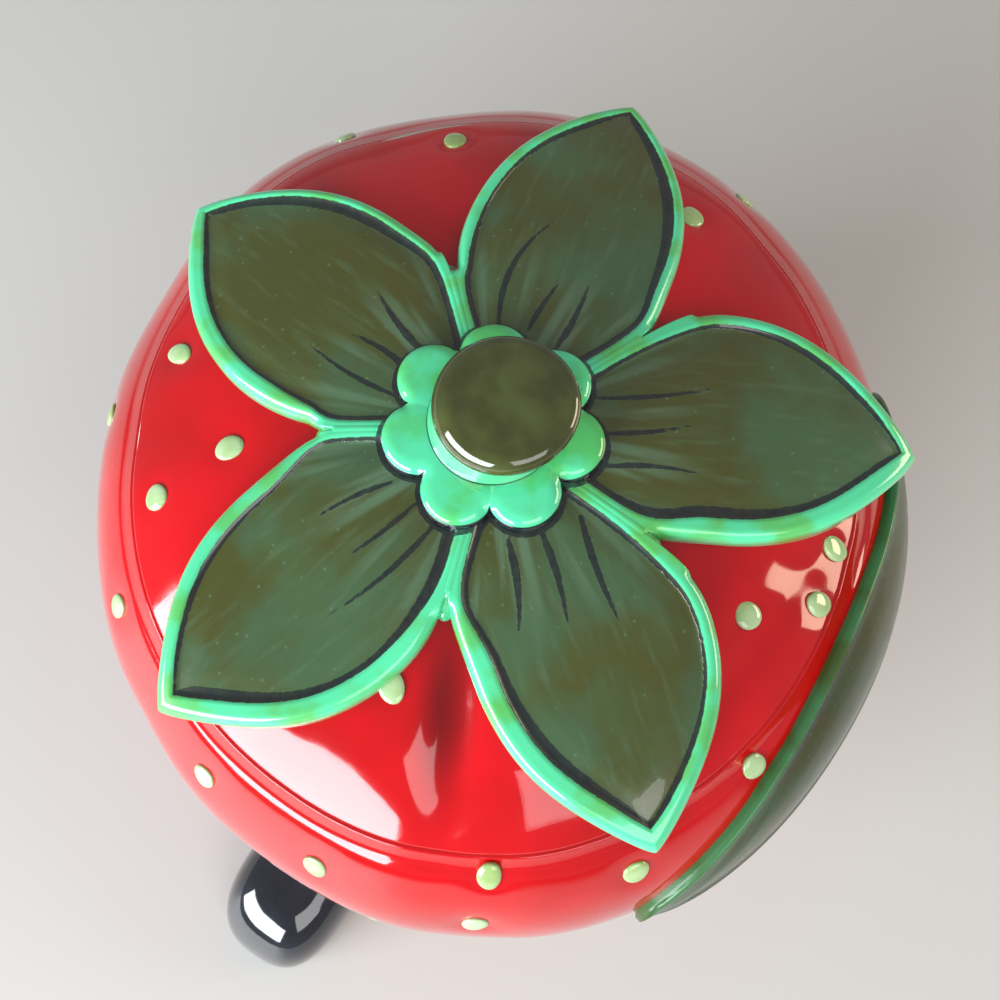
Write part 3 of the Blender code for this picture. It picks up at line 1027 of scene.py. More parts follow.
@dataclass(frozen=True)
class Knob:
    """The stem-shaped knob: a waisted post with a wide, softly domed end, leaning over."""

    low: Array
    high: Array
    base: float = 12.5 * MM
    waist: float = 11.3 * MM
    top: float = 13.3 * MM
    lean: float = 3.4 * MM
    roll: float = 3.3 * MM
    sag: float = 0.7 * MM
    rows: int = 64
    columns: int = 96

    def build(self, material: bpy.types.Material) -> None:
        """Profile by arcs: foot flare, waist, rolled edge and domed end, then the flat foot.

        Args:
            material: the knob's glaze.
        """
        height = self.high[2] - self.low[2]
        roll = self.roll
        dome = np.linspace(0.0, 1.0, 22)
        dome_r = dome * (self.top - roll)
        dome_h = height - self.sag * dome**2 + 0.25 * MM * np.cos(3.0 * dome) * (1.0 - dome)
        bend = np.linspace(0.0, pi / 2.0, 12)[1:]
        roll_r = self.top - roll + roll * np.sin(bend)
        roll_h = height - self.sag - roll + roll * np.cos(bend)
        t = np.linspace(0.0, 1.0, 26)[1:]
        side_h = (height - self.sag - roll) * (1.0 - t)
        side_r = self.top + (self.base - self.top) * t
        side_r = side_r - (self.top - self.waist) * np.sin(pi * t**0.85) ** 1.3
        radius = np.concatenate([dome_r, roll_r, side_r, [self.base - 0.6 * MM, 0.0]])
        level = np.concatenate([dome_h, roll_h, side_h, [-0.6 * MM, -0.6 * MM]])
        angles = np.linspace(0.0, 2.0 * pi, self.columns, endpoint=False)
        wobble = 1.0 + 0.012 * np.cos(2.0 * angles + 0.8) + 0.008 * np.cos(3.0 * angles)
        rings = np.stack([
            radius[:, None] * wobble * np.cos(angles),
            radius[:, None] * wobble * np.sin(angles),
            np.repeat(level[:, None], self.columns, axis=1),
        ], axis=-1)
        rings[..., 0] += self.lean * rings[..., 2] / height
        rings[..., 2] += 0.035 * rings[..., 0] * smooth_step(0.0, height, rings[..., 2])
        rim = (rings[..., 2] - 0.46 * height) / MM
        rings += STEM + np.array([0.0, 0.0, self.low[2] - 0.1 * MM])
        ink = np.broadcast_to((0.55 * MM - level)[:, None] / MM, rim.shape)
        attributes = {Attribute.RIM.value: rim, Attribute.INK.value: ink}
        Skin("glazed_knob", rings, attributes).build(material, Slot.KNOB, "knob")


# ---------------------------------------------------------------- leaves


class Side(float, Enum):
    """A leaf's two sides, as the sign of the way across it."""

    LEFT = 1.0
    RIGHT = -1.0


def on_lid(azimuth: float, along: Array | float, across: Array | float) -> tuple[Array, Array]:
    """A place in plan, from the stem's axis out along an azimuth and then across it.

    Args:
        azimuth: degrees round the stem.
        along: distance out from the stem.
        across: distance to the left of that way.

    Returns:
        The x and the y.
    """
    turn = radians(azimuth)
    x = STEM[0] + along * cos(turn) - across * sin(turn)
    y = STEM[1] + along * sin(turn) + across * cos(turn)
    return x, y


@dataclass(frozen=True)
class Vein:
    """A brushed line on a leaf, thick where it starts and drawn out to nothing."""

    start: tuple[float, float]
    end: tuple[float, float]
    bow: float = 0.0
    width: float = 1.2

    def ink(self, along: Array, across: Array) -> Array:
        """Half its width less the distance from its middle line, in mm: above 0 on the line.

        Args:
            along, across: places on the leaf in mm.

        Returns:
            The ink at each place. The line is an arc bowed sideways by 4 bow t (1 - t).
        """
        (s0, t0), (s1, t1) = self.start, self.end
        ds, dt = s1 - s0, t1 - t0
        length = float(np.hypot(ds, dt))
        part = ((along - s0) * ds + (across - t0) * dt) / length**2
        side = ((across - t0) * ds - (along - s0) * dt) / length
        held = np.clip(part, 0.0, 1.0)
        side = side - 4.0 * self.bow * held * (1.0 - held)
        past = np.abs(part - held) * length
        half = 0.5 * self.width * (1.0 - held) ** 0.55 * (0.55 + 0.45 * smooth_step(0.0, 0.3, held))
        return half - np.hypot(side, past) + 0.02


@dataclass
class ReliefLeaf:
    """A raised leaf with a rounded mint edge and a painted face, on some part of the berry."""

    name: str
    node: str
    berry: Berry
    start: float
    length: float
    left: float
    right: float
    fullness: float = 0.62
    lean: float = 0.86
    thickness: float = 4.0 * MM
    round_over: float = 2.1 * MM
    step_down: float = 0.9 * MM
    left_border: float = 3.0 * MM
    right_border: float = 3.0 * MM
    veins: tuple[Vein, ...] = ()
    heavy_side: Side = Side.LEFT
    stroke: float = 0.95
    rows: int = 150
    top_columns: int = 104
    wall_columns: int = 5
    under_columns: int = 12

    def blade(self, along: Array, width: float) -> Array:
        """Middle line to edge: W sin(pi p^lean)^fullness, with p the share of the way to the tip."""
        part = np.clip((along - self.start) / (self.length - self.start), 0.0, 1.0)
        return width * np.clip(np.sin(pi * part**self.lean), 0.0, 1.0) ** self.fullness

    def edges(self, along: Array) -> tuple[Array, Array]:
        """From the middle line to the left edge and to the right edge."""
        return self.blade(along, self.left), self.blade(along, self.right)

    def border_width(self, along: Array, across: Array) -> Array:
        """Width of the raised edge, which passes from one side's to the other's."""
        side = smooth_step(-0.35, 0.35, across / self.right)
        return self.right_border + (self.left_border - self.right_border) * side

    def outline(self) -> Array:
        """The leaf's edge in its own plane, up one side and down the other.

        Returns:
            Its corners, along and across, one row each.
        """
        along = self.start + (self.length - self.start) * np.sin(np.linspace(0.0, pi / 2.0, 56))
        left, right = self.edges(along)
        up = np.stack([along, left], axis=-1)
        down = np.stack([along[::-1], -right[::-1]], axis=-1)
        return np.concatenate([up, down])

    def outside_ink(self, points: Array) -> Array:
        """Ink that comes from a neighbour, none on a plain leaf."""
        return np.full(points.shape[:-1], NO_INK)

    def place(self, along: Array, across: Array, share: Array, depth: Array) -> Array:
        """Where a point of the leaf lies: share 1 is the top and 0 the underside."""
        raise NotImplementedError

    def free_edge(self) -> Array:
        """The part of the edge that stands free, all of it on a leaf by itself."""
        return self.outline()

    def height_drop(self, free: Array, edge: Array, border: Array) -> Array:
        """How far the top falls below its full height.

        A quarter ellipse rounds the free edge over, then the border steps down to the
        face, which is very slightly crowned.

        Args:
            free: distance from the free edge.
            edge: distance from the whole edge.
            border: the raised edge's width.

        Returns:
            The drop in metres.
        """
        part = np.clip(free / self.round_over, 0.0, 1.0)
        rolled = 1.25 * self.round_over * (1.0 - np.sqrt(1.0 - (1.0 - part) ** 2))
        face = self.step_down * smooth_step(-0.7 * MM, 1.1 * MM, edge - border)
        crown = 0.35 * MM * smooth_step(1.0 * MM, 6.0 * MM, edge - border)
        return rolled + face - crown

    def build(self, material: bpy.types.Material) -> None:
        """Cross-sections from foot to tip: over the top, down a wall, underneath, up a wall.

        Args:
            material: the leaf's glaze.
        """
        u = np.linspace(0.0, 1.0, self.rows)
        along = self.start + (self.length - self.start) * (0.45 * u + 0.55 * np.sin(pi * u / 2.0))
        left, right = (np.maximum(edge, 0.02 * MM)[:, None] for edge in self.edges(along))
        q = np.linspace(-1.0, 1.0, self.top_columns)
        c = 0.5 * np.sin(pi * q / 2.0) + 0.5 * q
        wall = np.linspace(1.0, 0.0, self.wall_columns + 2)[1:-1]
        under = np.linspace(1.0, -1.0, self.under_columns)
        across = np.concatenate([c, np.ones(len(wall)), under, -np.ones(len(wall))])
        share = np.concatenate([np.ones(len(c)), wall, np.zeros(len(under)), wall[::-1]])
        s = np.broadcast_to(along[:, None], (len(along), len(across)))
        t = np.where(across > 0.0, left, right) * across
        edge, free = np.zeros(s.shape), np.zeros(s.shape)
        top = (slice(None), slice(0, len(c)))
        edge[top] = distance_to_line(s[top], t[top], self.outline())
        free[top] = distance_to_line(s[top], t[top], self.free_edge())
        limit = self.border_width(s, t)
        rings = self.place(s, t, np.broadcast_to(share, s.shape), self.height_drop(free, edge, limit))
        heavy = smooth_step(-0.3, 0.3, t / (0.25 * self.left) * self.heavy_side.value)
        taper = smooth_step(0.0, 0.14, (self.length - s) / self.length)
        swell = 1.0 + 0.30 * np.sin(s / (9.0 * MM) + self.left * 4000.0 + 2.0 * np.sign(t))
        line = self.stroke * (0.50 + 0.50 * heavy) * (0.25 + 0.75 * np.maximum(taper, heavy)) * swell
        ink = line - np.abs((edge - limit) / MM - line * 0.9)
        for vein in self.veins:
            ink = np.maximum(ink, np.where(edge > limit, vein.ink(s / MM, t / MM), NO_INK))
        ink = np.maximum(ink, self.outside_ink(rings))
        ink = np.where(share < 0.99, NO_INK, ink)
        attributes = {
            Attribute.RIM.value: (edge - limit) / MM,
            Attribute.INK.value: ink,
            Attribute.ALONG.value: s / MM,
            Attribute.ACROSS.value: t / MM,
        }
        Skin(self.name, rings, attributes).build(material, Slot.LEAF, self.node)


@dataclass
class LidLeaf(ReliefLeaf):
    """One of the five leaves on the lid, its foot joined to its neighbours'."""

    azimuth: float = 0.0
    lean: float = 0.95
    left_wedge: float = 36.0
    right_wedge: float = 36.0
    left_foot: float = 0.30
    rim: float = 82.0 * MM
    tip_top: float = 152.4 * MM
    lift_from: float = 48.0 * MM
    join: float = -0.02 * MM
    joined_border: float = 1.65 * MM
    corner: float = 16.0
    collar: Collar | None = None

    def edges(self, along: Array) -> tuple[Array, Array]:
        """On each side the lesser of the blade and the wedge to the neighbour, softly blended.

        The blend is (a^-n + b^-n)^(-1/n), with n the corner's sharpness.

        Args:
            along: distance out from the stem.

        Returns:
            From the middle line to the left edge and to the right edge.
        """
        sharp = self.corner
        found = []
        for blade, wedge in self.limits(along):
            found.append(MM * ((wedge / MM) ** -sharp + (blade / MM) ** -sharp) ** (-1.0 / sharp))
        return found[0], found[1]

    def limits(self, along: Array) -> tuple[tuple[Array, Array], ...]:
        """The blade's edge and the wedge's edge, on the left and then on the right.

        A blade is W sin(pi p^lean)^n, where n grows towards the tip to bring it to a
        point. Its foot is held at a share of its full width back to the stem.

        Args:
            along: distance out from the stem.

        Returns:
            The blade's and the wedge's distance from the middle line, for each side.
        """
        part = np.clip((along - self.start) / (self.length - self.start), 0.0, 1.0)
        power = self.fullness + 0.20 * smooth_step(0.6, 1.0, part)
        sides = (
            (self.left, self.left_wedge, self.left_foot), (self.right, self.right_wedge, 0.5),
        )
        found = []
        for width, wedge, foot in sides:
            fill = np.clip(np.sin(pi * np.maximum(part**self.lean, foot)), 1e-6, 1.0) ** power
            found.append((width * fill, along * tan(radians(wedge)) + self.join))
        return tuple(found)

    def free_edge(self) -> Array:
        """The edge past the valleys, where it no longer meets a neighbour's.

        Returns:
            Its corners, along and across, one row each.
        """
        outline = self.outline()
        left, right = self.limits(outline[:, 0])
        on_left = outline[:, 1] > 0.0
        blade = np.where(on_left, left[0], right[0])
        wedge = np.where(on_left, left[1], right[1])
        return outline[wedge > blade]

    def border_width(self, along: Array, across: Array) -> Array:
        """Narrow where the feet are joined, and full along the free blade.

        Args:
            along: distance out from the stem.
            across: distance from the middle line, to the left.

        Returns:
            The width at each place.
        """
        grown = smooth_step(22.0 * MM, 42.0 * MM, along)
        free_border = super().border_width(along, across)
        return self.joined_border + (free_border - self.joined_border) * grown

    def outside_ink(self, points: Array) -> Array:
        """The line brushed on the leaves round the collar."""
        return self.collar.ink(points[..., 0], points[..., 1])

    def place(self, along: Array, across: Array, share: Array, depth: Array) -> Array:
        """On the dome, lifting towards the tip, its walls standing on the dome.

        The top is dome + thickness + lift f^1.8, with f the share of the way from where
        the lift starts to the tip, and the underside follows the dome.

        Args:
            along, across: places in the leaf's own plane.
            share: 1 on the top and 0 on the underside.
            depth: how far the top falls short of its full height.

        Returns:
            Each place in the model.
        """
        x, y = on_lid(self.azimuth, along, across)
        plan = self.berry.plan_radius(x, y)
        tip = self.berry.plan_radius(*on_lid(self.azimuth, self.length, 0.0))
        lift = self.tip_top - self.thickness - self.berry.dome(tip)
        reach = np.hypot(along, across)
        far = np.clip((reach - self.lift_from) / (self.length - self.lift_from), 0.0, 1.2)
        dome = self.berry.dome(plan)
        over_rim = smooth_step(self.rim - 5.0 * MM, self.rim - 0.5 * MM, plan)
        bottom = dome - 0.6 * MM + 1.5 * MM * over_rim
        top = dome + self.thickness + lift * far**1.8 - depth
        edge_top = np.maximum(top, bottom + 0.4 * MM)
        return np.stack([x, y, bottom + (edge_top - bottom) * share], axis=-1)


@dataclass(frozen=True)
class LeafWeb:
    """The rounded band that joins two lid leaves between their feet."""

    name: str
    berry: Berry
    collar: Collar
    azimuth: float
    length: float
    level: float = 4.12 * MM
    start: float = 12.0 * MM
    narrow: float = 1.1 * MM
    wide: float = 1.9 * MM
    arch: float = 1.1 * MM
    ramp: float = 5.0 * MM
    sink: float = 4.4 * MM
    below: float = 0.5 * MM
    inside_border: float = -5.0
    rows: int = 70
    columns: int = 32

    def build(self, material: bpy.types.Material) -> None:
        """Low arches along the line between two leaves, widening to a round end.

        Half width is narrow + (wide - narrow) p^4, closed by a quarter circle. Each
        arch is an ellipse above and straight sides down into the dome, and over the
        last ramp of length the arches sink smoothly into the dome.

        Args:
            material: the leaves' glaze.
        """
        p = np.sin(np.linspace(0.0, pi / 2.0, self.rows))
        along = self.start + (self.length - self.start) * p
        close = np.clip((along - self.length + self.wide) / self.wide, 0.0, 1.0)
        half = (self.narrow + (self.wide - self.narrow) * p**4) * np.sqrt(1.0 - close**2)
        angle = np.linspace(0.0, 2.0 * pi, self.columns, endpoint=False)
        across = half[:, None] * np.cos(angle)
        x, y = on_lid(self.azimuth, along[:, None], across)
        spring = self.level - self.arch
        rise = np.sin(angle)
        level = spring + np.where(rise > 0.0, self.arch * rise, (spring + self.below) * rise)
        past = smooth_step(self.length - self.ramp, self.length, along)[:, None]
        level = level - self.sink * past
        z = self.berry.dome(self.berry.plan_radius(x, y)) + level
        attributes = {
            Attribute.RIM.value: np.full(x.shape, self.inside_border),
            Attribute.INK.value: self.collar.ink(x, y),
            Attribute.ALONG.value: np.broadcast_to(along[:, None] / MM, x.shape),
            Attribute.ACROSS.value: across / MM,
        }
        Skin(self.name, np.stack([x, y, z], axis=-1), attributes).build(material, Slot.LEAF)


@dataclass
class SideLeaf(ReliefLeaf):
    """The long leaf on the side of the body, along the wall under the lid's edge."""

    from_azimuth: float = -73.0
    to_azimuth: float = 12.0
    middle: float = 115.0 * MM

    def place(self, along: Array, across: Array, share: Array, depth: Array) -> Array:
        """Azimuth runs with the length and height with the width, off the wall's normal.

        Args:
            along, across: places in the leaf's own plane.
            share: 1 on the top and 0 on the underside.
            depth: how far the top falls short of its full height.

        Returns:
            Each place in the model.
        """
        part = (along - self.start) / (self.length - self.start)
        azimuth = np.radians(self.from_azimuth + (self.to_azimuth - self.from_azimuth) * part)
        height = self.middle + across
        step = 0.2 * MM
        radius = self.berry.radius(height)
        slope = (self.berry.radius(height + step) - self.berry.radius(height - step)) / (2.0 * step)
        outward = np.stack([self.berry.oval * np.cos(azimuth), np.sin(azimuth), 0.0 * azimuth], axis=-1)
        round_it = np.stack([-self.berry.oval * np.sin(azimuth), np.cos(azimuth), 0.0 * azimuth], axis=-1)
        up = outward * slope[..., None] + np.array([0.0, 0.0, 1.0])
        normal = np.cross(round_it, up)
        normal = normal / np.linalg.norm(normal, axis=-1, keepdims=True)
        base = outward * radius[..., None]
        base[..., 2] = height
        offset, _ = self.berry.unevenness(base)
        rib = 0.6 * MM * bell(across, 1.2 * MM) * smooth_step(0.0, 0.1, part * (1.0 - part))
        top = np.maximum(self.thickness - depth, 0.0) + rib
        level = offset - 0.5 * MM + (top + 0.5 * MM) * share
        return base + level[..., None] * normal


# ---------------------------------------------------------------- feet


@dataclass(frozen=True)
class Foot:
    """A round-toed foot soled flat, with a welt above the sole."""

    node: str
    azimuth: float
    heel: float = 54.0 * MM
    toe: float = 143.0 * MM
    half_width: float = 18.5 * MM
    height: float = 26.7 * MM
    welt: float = 5.5 * MM
    groove: float = 0.8 * MM
    toe_length: float = 26.0 * MM
    heel_length: float = 6.0 * MM
    rows: int = 90
    columns: int = 96

    def build(self, material: bpy.types.Material) -> None:
        """Sections from heel to toe, each a flat-soled rounded arch.

        Half width is w (1 - p^2.5)^(1/2.5) over the toe's length, and the arch's height
        is h (1 - p^2.2)^(1/2), so the toe is a low dome. A small groove runs round above
        the sole.

        Args:
            material: the black glaze.
        """
        u = np.linspace(0.0, 1.0, self.rows)
        x = self.heel + (self.toe - self.heel) * np.sin(pi * u / 2.0)
        toe_part = np.clip((x - (self.toe - self.toe_length)) / self.toe_length, 0.0, 1.0)
        heel_part = np.clip((self.heel + self.heel_length - x) / self.heel_length, 0.0, 1.0)
        plump = 0.86 + 0.14 * smooth_step(self.heel, self.toe - 22.0 * MM, x)
        width = self.half_width * plump * (1.0 - toe_part**2.5) ** (1 / 2.5)
        width = width * np.sqrt(1.0 - heel_part**2)
        top = self.height * (0.92 + 0.08 * plump) * (1.0 - toe_part**2.2) ** (1 / 2.0)
        top = np.maximum(top * np.sqrt(1.0 - heel_part**2), 0.25 * self.height * (1.0 - toe_part**6))
        angle = np.linspace(0.0, 2.0 * pi, self.columns, endpoint=False)
        across = np.sign(np.cos(angle)) * np.abs(np.cos(angle)) ** 0.80
        rise = np.sin(angle)
        over = 0.30 + 0.70 * np.abs(rise) ** 0.90
        level = np.where(rise >= 0.0, over, 0.30 * (1.0 - np.abs(rise) ** 0.28))
        y = width[:, None] * across
        z = top[:, None] * level
        groove = bell(z - self.welt, 0.9 * MM) * smooth_step(0.0, 6.0 * MM, top)[:, None]
        y = y - self.groove * groove * np.sign(across)
        x = np.broadcast_to(x[:, None], y.shape) - self.groove * groove * toe_part[:, None]
        turn = radians(self.azimuth)
        rings = np.stack([x * cos(turn) - y * sin(turn), x * sin(turn) + y * cos(turn), z], axis=-1)
        ink = np.full(y.shape, NO_INK)
        skin = Skin(f"glazed_{self.node}", rings, {Attribute.INK.value: ink})
        skin.build(material, Slot.BLACK, self.node)


# ---------------------------------------------------------------- studio


@dataclass(frozen=True)
class AreaLight:
    """A soft rectangular light that faces a point."""

    name: str
    place: tuple[float, float, float]
    target: tuple[float, float, float]
    size: tuple[float, float]
    power: float
    colour: Colour = (1.0, 1.0, 1.0)

    def build(self) -> None:
        """Adds the light to the scene."""
        data = bpy.data.lights.new(self.name, "AREA")
        data.shape = "RECTANGLE"
        data.size, data.size_y = self.size
        data.energy = self.power
        data.color = self.colour
        light = bpy.data.objects.new(self.name, data)
        light.location = self.place
        away = Vector(self.target) - Vector(self.place)
        light.rotation_euler = away.to_track_quat("-Z", "Y").to_euler()
        bpy.context.scene.collection.objects.link(light)


@dataclass(frozen=True)
class Studio:
    """A plain pale floor, soft lights, and a camera close above the front of the jar."""

    look_at: tuple[float, float, float]
    elevation: float = 74.8
    roll: float = -1.8
    distance: float = 0.253
    field_of_view: float = 53.13
    floor_half: float = 12.0
    floor_colour: Colour = (0.50, 0.49, 0.47)
    air: Colour = (0.84, 0.85, 0.88)
    air_strength: float = 0.42

    def camera(self) -> None:
        """Puts the camera at its distance from look_at, pitched down by its elevation."""
        pitch = radians(self.elevation)
        forward = Vector((0.0, cos(pitch), -sin(pitch)))
        right = Vector((1.0, 0.0, 0.0))
        up = right.cross(forward)
        turn = radians(self.roll)
        across = right * cos(turn) + up * sin(turn)
        above = up * cos(turn) - right * sin(turn)
        axes = Matrix((across, above, -forward)).transposed().to_4x4()
        data = bpy.data.cameras.new("studio_camera")
        data.lens_unit = "FOV"
        data.angle = radians(self.field_of_view)
        data.clip_start = 0.01
        camera = bpy.data.objects.new("studio_camera", data)
        camera.matrix_world = Matrix.Translation(Vector(self.look_at) - forward * self.distance) @ axes
        bpy.context.scene.collection.objects.link(camera)
        bpy.context.scene.camera = camera

    def floor(self) -> None:
        """A flat pale floor, a little rough."""
        half = self.floor_half
        mesh = bpy.data.meshes.new("studio_floor")
        corners = [(-half, -half, 0.0), (half, -half, 0.0), (half, half, 0.0), (-half, half, 0.0)]
        mesh.from_pydata(corners, [], [(0, 1, 2, 3)])
        graph = Graph("studio_floor")
        cloud = graph.spread(graph.noise(0.4, 2.0), 0.42, 0.5)
        mesh.materials.append(graph.finish(self.floor_colour, cloud, graph.relief(cloud, 0.0001)))
        floor = bpy.data.objects.new("studio_floor", mesh)
        bpy.context.scene.collection.objects.link(floor)

    def world(self) -> None:
        """An even pale surround."""
        world = bpy.data.worlds.new("studio_air")
        world.use_nodes = True
        background = world.node_tree.nodes["Background"]
        background.inputs["Color"].default_value = (*self.air, 1.0)
        background.inputs["Strength"].default_value = self.air_strength
        bpy.context.scene.world = world

    def build(self) -> None:
        """Adds the camera, the floor, the surround and the lights."""
        self.camera()
        self.floor()
        self.world()
        aim = (0.0, 0.0, 0.10)
        lights = (
            AreaLight("window_key", (-1.05, -0.80, 0.56), aim, (1.60, 0.62), 48.0, (0.90, 0.97, 1.0)),
            AreaLight("front_fill", (0.45, -1.20, 1.10), aim, (1.0, 0.8), 9.0),
            AreaLight("warm_fill", (1.20, 0.10, 0.48), aim, (0.7, 0.4), 7.0, (1.0, 0.84, 0.62)),
        )
        for light in lights:
            light.build()


# ---------------------------------------------------------------- the jar


@dataclass(frozen=True)
class LeafPlan:
    """Where one lid leaf points, its size in millimetres and its brushwork."""

    azimuth: float
    length: float
    left: float
    right: float
    foot: float
    valley: float
    left_border: float
    right_border: float
    heavy_side: Side
    veins: tuple[Vein, ...]


LEAF_PLANS = (
    LeafPlan(
        azimuth=67.0, length=86.0, left=22.8, right=22.0, foot=0.30, valley=38.8,
        left_border=3.0, right_border=2.6, heavy_side=Side.RIGHT, veins=(
            Vein((21.0, 7.0), (48.0, 4.8), 3.2, 1.7),
            Vein((22.0, 1.0), (34.5, -1.2), 0.4, 1.5),
            Vein((20.5, -5.4), (36.0, -6.6), -0.6, 1.8),
        ),
    ),
    LeafPlan(
        azimuth=138.0, length=85.0, left=24.5, right=23.3, foot=0.30, valley=35.4,
        left_border=4.0, right_border=2.7, heavy_side=Side.RIGHT, veins=(
            Vein((19.5, -3.2), (37.5, -7.9), 0.8, 2.0),
            Vein((20.0, 1.4), (36.0, 3.1), -0.9, 1.7),
            Vein((19.0, 7.0), (40.0, 9.4), 1.0, 1.4),
        ),
    ),
    LeafPlan(
        azimuth=217.5, length=82.4, left=24.5, right=22.0, foot=0.29, valley=37.2,
        left_border=4.3, right_border=3.5, heavy_side=Side.LEFT, veins=(
            Vein((21.5, -4.0), (37.0, -8.0), -0.6, 1.3),
            Vein((21.0, 2.2), (38.0, 1.5), 0.5, 1.3),
            Vein((20.5, 7.6), (46.0, 8.0), 1.2, 1.5),
        ),
    ),
    LeafPlan(
        azimuth=289.3, length=83.2, left=26.0, right=20.5, foot=0.26, valley=39.2,
        left_border=3.2, right_border=4.6, heavy_side=Side.RIGHT, veins=(
            Vein((21.5, -5.2), (38.0, -9.6), 0.8, 2.0),
            Vein((22.0, 1.2), (40.0, -0.6), 0.6, 1.9),
            Vein((22.0, 9.2), (44.0, 8.8), -0.8, 1.9),
        ),
    ),
    LeafPlan(
        azimuth=356.5, length=85.2, left=28.0, right=19.8, foot=0.23, valley=39.4,
        left_border=2.9, right_border=4.3, heavy_side=Side.RIGHT, veins=(
            Vein((20.5, 7.0), (45.5, 11.5), -1.0, 1.3),
            Vein((21.0, -0.2), (39.5, 2.8), -0.7, 1.4),
            Vein((21.5, -6.8), (40.0, -7.2), 0.7, 1.5),
        ),
    ),
)

# Folds and swellings of the wall: azimuth, height, depth, reach round, reach along, turn.
FOLDS = (
    Dent(260.0, 155.5 * MM, 3.0 * MM, 5.0 * MM, 19.0 * MM, 4.0),
    Dent(265.0, 128.0 * MM, 1.2 * MM, 12.0 * MM, 22.0 * MM),
    Dent(246.0, 153.0 * MM, -0.9 * MM, 10.0 * MM, 14.0 * MM),
    Dent(277.0, 152.0 * MM, -0.8 * MM, 8.0 * MM, 14.0 * MM),
    Dent(314.0, 150.5 * MM, 1.1 * MM, 27.0 * MM, 4.0 * MM, 6.0),
    Dent(322.0, 154.5 * MM, -0.9 * MM, 22.0 * MM, 5.0 * MM, -10.0),
    Dent(336.0, 151.0 * MM, 1.0 * MM, 5.5 * MM, 14.0 * MM, 20.0),
    Dent(176.0, 150.0 * MM, 1.0 * MM, 9.0 * MM, 16.0 * MM),
    Dent(36.0, 150.0 * MM, 1.0 * MM, 9.0 * MM, 18.0 * MM),
    Dent(106.0, 150.0 * MM, 0.9 * MM, 9.0 * MM, 18.0 * MM),
    Dent(212.0, 118.0 * MM, 1.1 * MM, 14.0 * MM, 30.0 * MM),
    Dent(150.0, 112.0 * MM, 1.2 * MM, 15.0 * MM, 32.0 * MM),
    Dent(95.0, 105.0 * MM, 1.2 * MM, 16.0 * MM, 34.0 * MM),
)


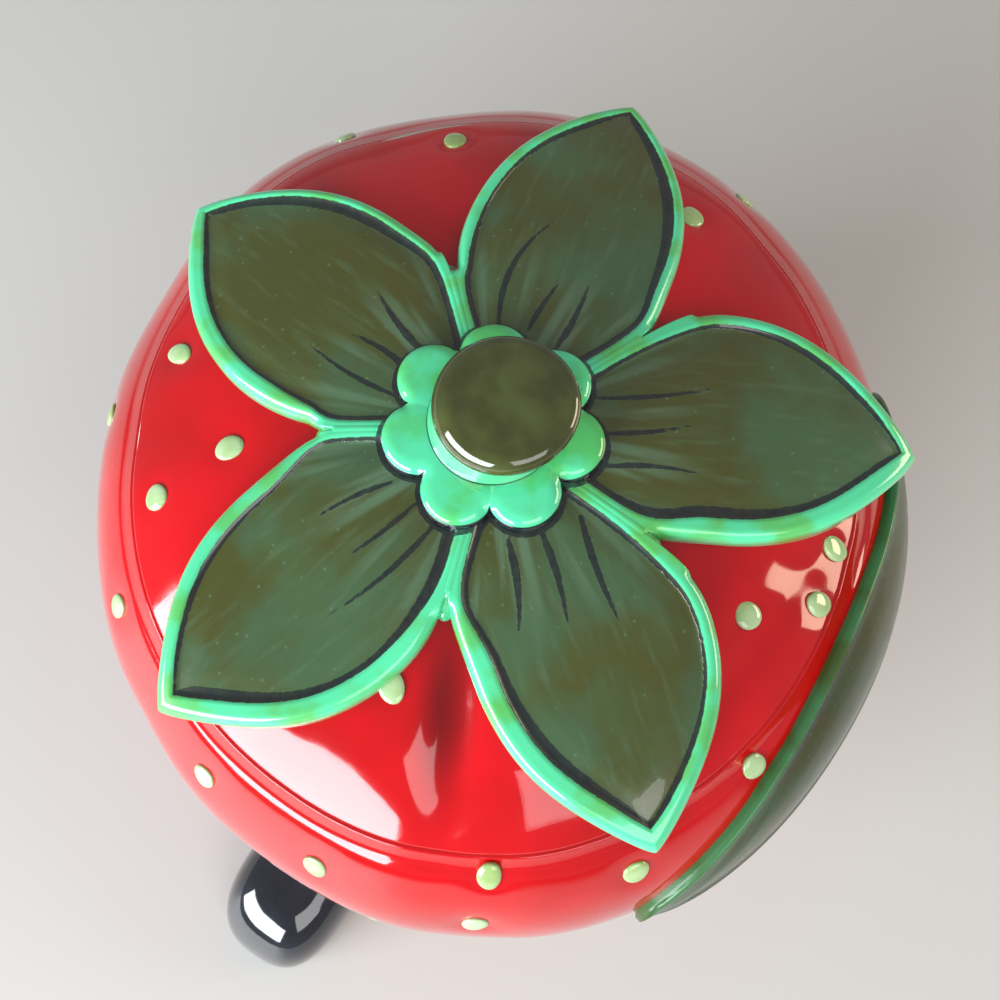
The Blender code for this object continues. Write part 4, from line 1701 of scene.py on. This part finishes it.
@dataclass
class StrawberryJar:
    """The whole jar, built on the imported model's places."""

    plans: tuple[LeafPlan, ...] = LEAF_PLANS

    def __post_init__(self) -> None:
        """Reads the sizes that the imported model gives."""
        low, high = (np.array(corner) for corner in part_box("jar_body"))
        girth = float(high[1] - low[1]) / 2.0
        top = float(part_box("lid_dome")[1][2])
        self.seat = float(high[2]) + HALF_SEAM
        oval = float(high[0] - low[0]) / (2.0 * girth)
        smooth = Berry(oval=oval, girth=girth, crown=top - Berry.girth_height)
        self.seeds = Seeds(smooth)
        self.folds = replace(smooth, dents=FOLDS)
        self.wall = replace(smooth, dents=FOLDS + self.seeds.dimples())
        self.collar = Collar(*(np.array(corner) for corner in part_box("collar")))
        self.knob = Knob(*(np.array(corner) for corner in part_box("knob")))

    def lid_leaves(self) -> list[LidLeaf]:
        """The five leaves, each cut on both sides to half the turn to its neighbour.

        Returns:
            The leaves, in the order of their plans.
        """
        leaves = []
        for index, plan in enumerate(self.plans):
            following = self.plans[(index + 1) % len(self.plans)].azimuth
            leaves.append(LidLeaf(
                name=f"glazed_leaf_{index + 1}", node=f"lid_leaf_{index + 1}", berry=self.folds,
                start=8.0 * MM, length=plan.length * MM, left=plan.left * MM, right=plan.right * MM,
                azimuth=plan.azimuth, left_wedge=((following - plan.azimuth) % 360.0) / 2.0,
                right_wedge=((plan.azimuth - self.plans[index - 1].azimuth) % 360.0) / 2.0,
                left_foot=plan.foot, left_border=plan.left_border * MM,
                right_border=plan.right_border * MM, veins=plan.veins,
                heavy_side=plan.heavy_side, collar=self.collar,
            ))
        return leaves

    def leaf_webs(self) -> list[LeafWeb]:
        """The band between each leaf and the next, half way round from one to the other.

        Returns:
            The bands, in the order of the leaves before them.
        """
        webs = []
        for index, plan in enumerate(self.plans):
            following = self.plans[(index + 1) % len(self.plans)].azimuth
            middle = plan.azimuth + ((following - plan.azimuth) % 360.0) / 2.0
            webs.append(LeafWeb(
                f"leaf_web_{index + 1}", self.folds, self.collar, middle, plan.valley * MM
            ))
        return webs

    def side_leaf(self) -> SideLeaf:
        """The long leaf, with short cross veins off its middle line.

        Returns:
            The leaf.
        """
        length = 140.0
        veins = [Vein((4.0, 0.0), (length - 8.0, 0.0), 0.0, 1.3)]
        for k in range(12):
            foot = 12.0 + 10.0 * k
            reach = 15.0 - 0.28 * abs(foot - length / 2.0) ** 0.9
            veins.append(Vein((foot, 0.8), (foot + 12.0, reach), 0.9, 1.0))
            veins.append(Vein((foot, -0.8), (foot + 12.0, -reach), -0.9, 1.0))
        return SideLeaf(
            name="glazed_side_leaf", node="side_leaf", berry=self.folds, start=0.0,
            length=length * MM, left=26.8 * MM, right=26.8 * MM, fullness=0.50, lean=1.0,
            thickness=2.5 * MM, round_over=1.0 * MM, step_down=0.4 * MM,
            left_border=1.2 * MM, right_border=1.2 * MM,
            veins=tuple(veins), stroke=0.45, rows=220,
        )

    def build(self) -> None:
        """Builds every piece in order, from the body up and out."""
        red = BerryGlaze().build()
        green = LeafGlaze().build()
        mint = PlainGlaze(
            "mint_glaze", thin=(0.085, 0.66, 0.35), pooled=(0.08, 0.50, 0.13),
            speck=(0.004, 0.007, 0.015),
        ).build()
        pale = PlainGlaze(
            "seed_glaze", thin=(0.42, 0.58, 0.32), pooled=(0.30, 0.43, 0.14),
            speck=(0.06, 0.07, 0.02),
        ).build()
        black = PlainGlaze(
            "black_glaze", thin=(0.005, 0.006, 0.010), pooled=(0.010, 0.012, 0.020),
            speck=(0.02, 0.022, 0.03), gloss=Gloss(0.9, 0.02),
        ).build()
        JarBody(self.wall, self.seat - HALF_SEAM).build(red)
        LidDome(self.wall, self.seat + HALF_SEAM).build(red)
        for piece in (*self.lid_leaves(), *self.leaf_webs()):
            piece.build(green)
        # The side leaf's glaze is the lid leaves' design in darker colours, painted shade on that side of
        # the jar, with a duller gloss.
        self.side_leaf().build(LeafGlaze(
            "side_leaf_shaded_glaze", face=(0.022, 0.050, 0.018), shade=(0.034, 0.038, 0.006),
            light=(0.05, 0.12, 0.06), edge=(0.045, 0.15, 0.055), edge_pool=(0.05, 0.07, 0.010),
            gloss=Gloss(0.10, 0.10, 1.36),
        ).build())
        self.collar.build(mint)
        self.knob.build(KnobGlaze().build())
        for node, azimuth in (("foot_front", 236.0), ("foot_back", 56.0)):
            Foot(node, azimuth).build(black)
        self.seeds.build(self.folds, pale)


def main() -> None:
    """Builds the jar and the studio round it."""
    logging.basicConfig(level=logging.INFO, format="%(name)s: %(message)s")
    StrawberryJar().build()
    Studio(look_at=(0.0016, 0.0012, 0.100)).build()
    bpy.context.scene.view_settings.view_transform = "Standard"


if __name__ == "__main__":
    main()
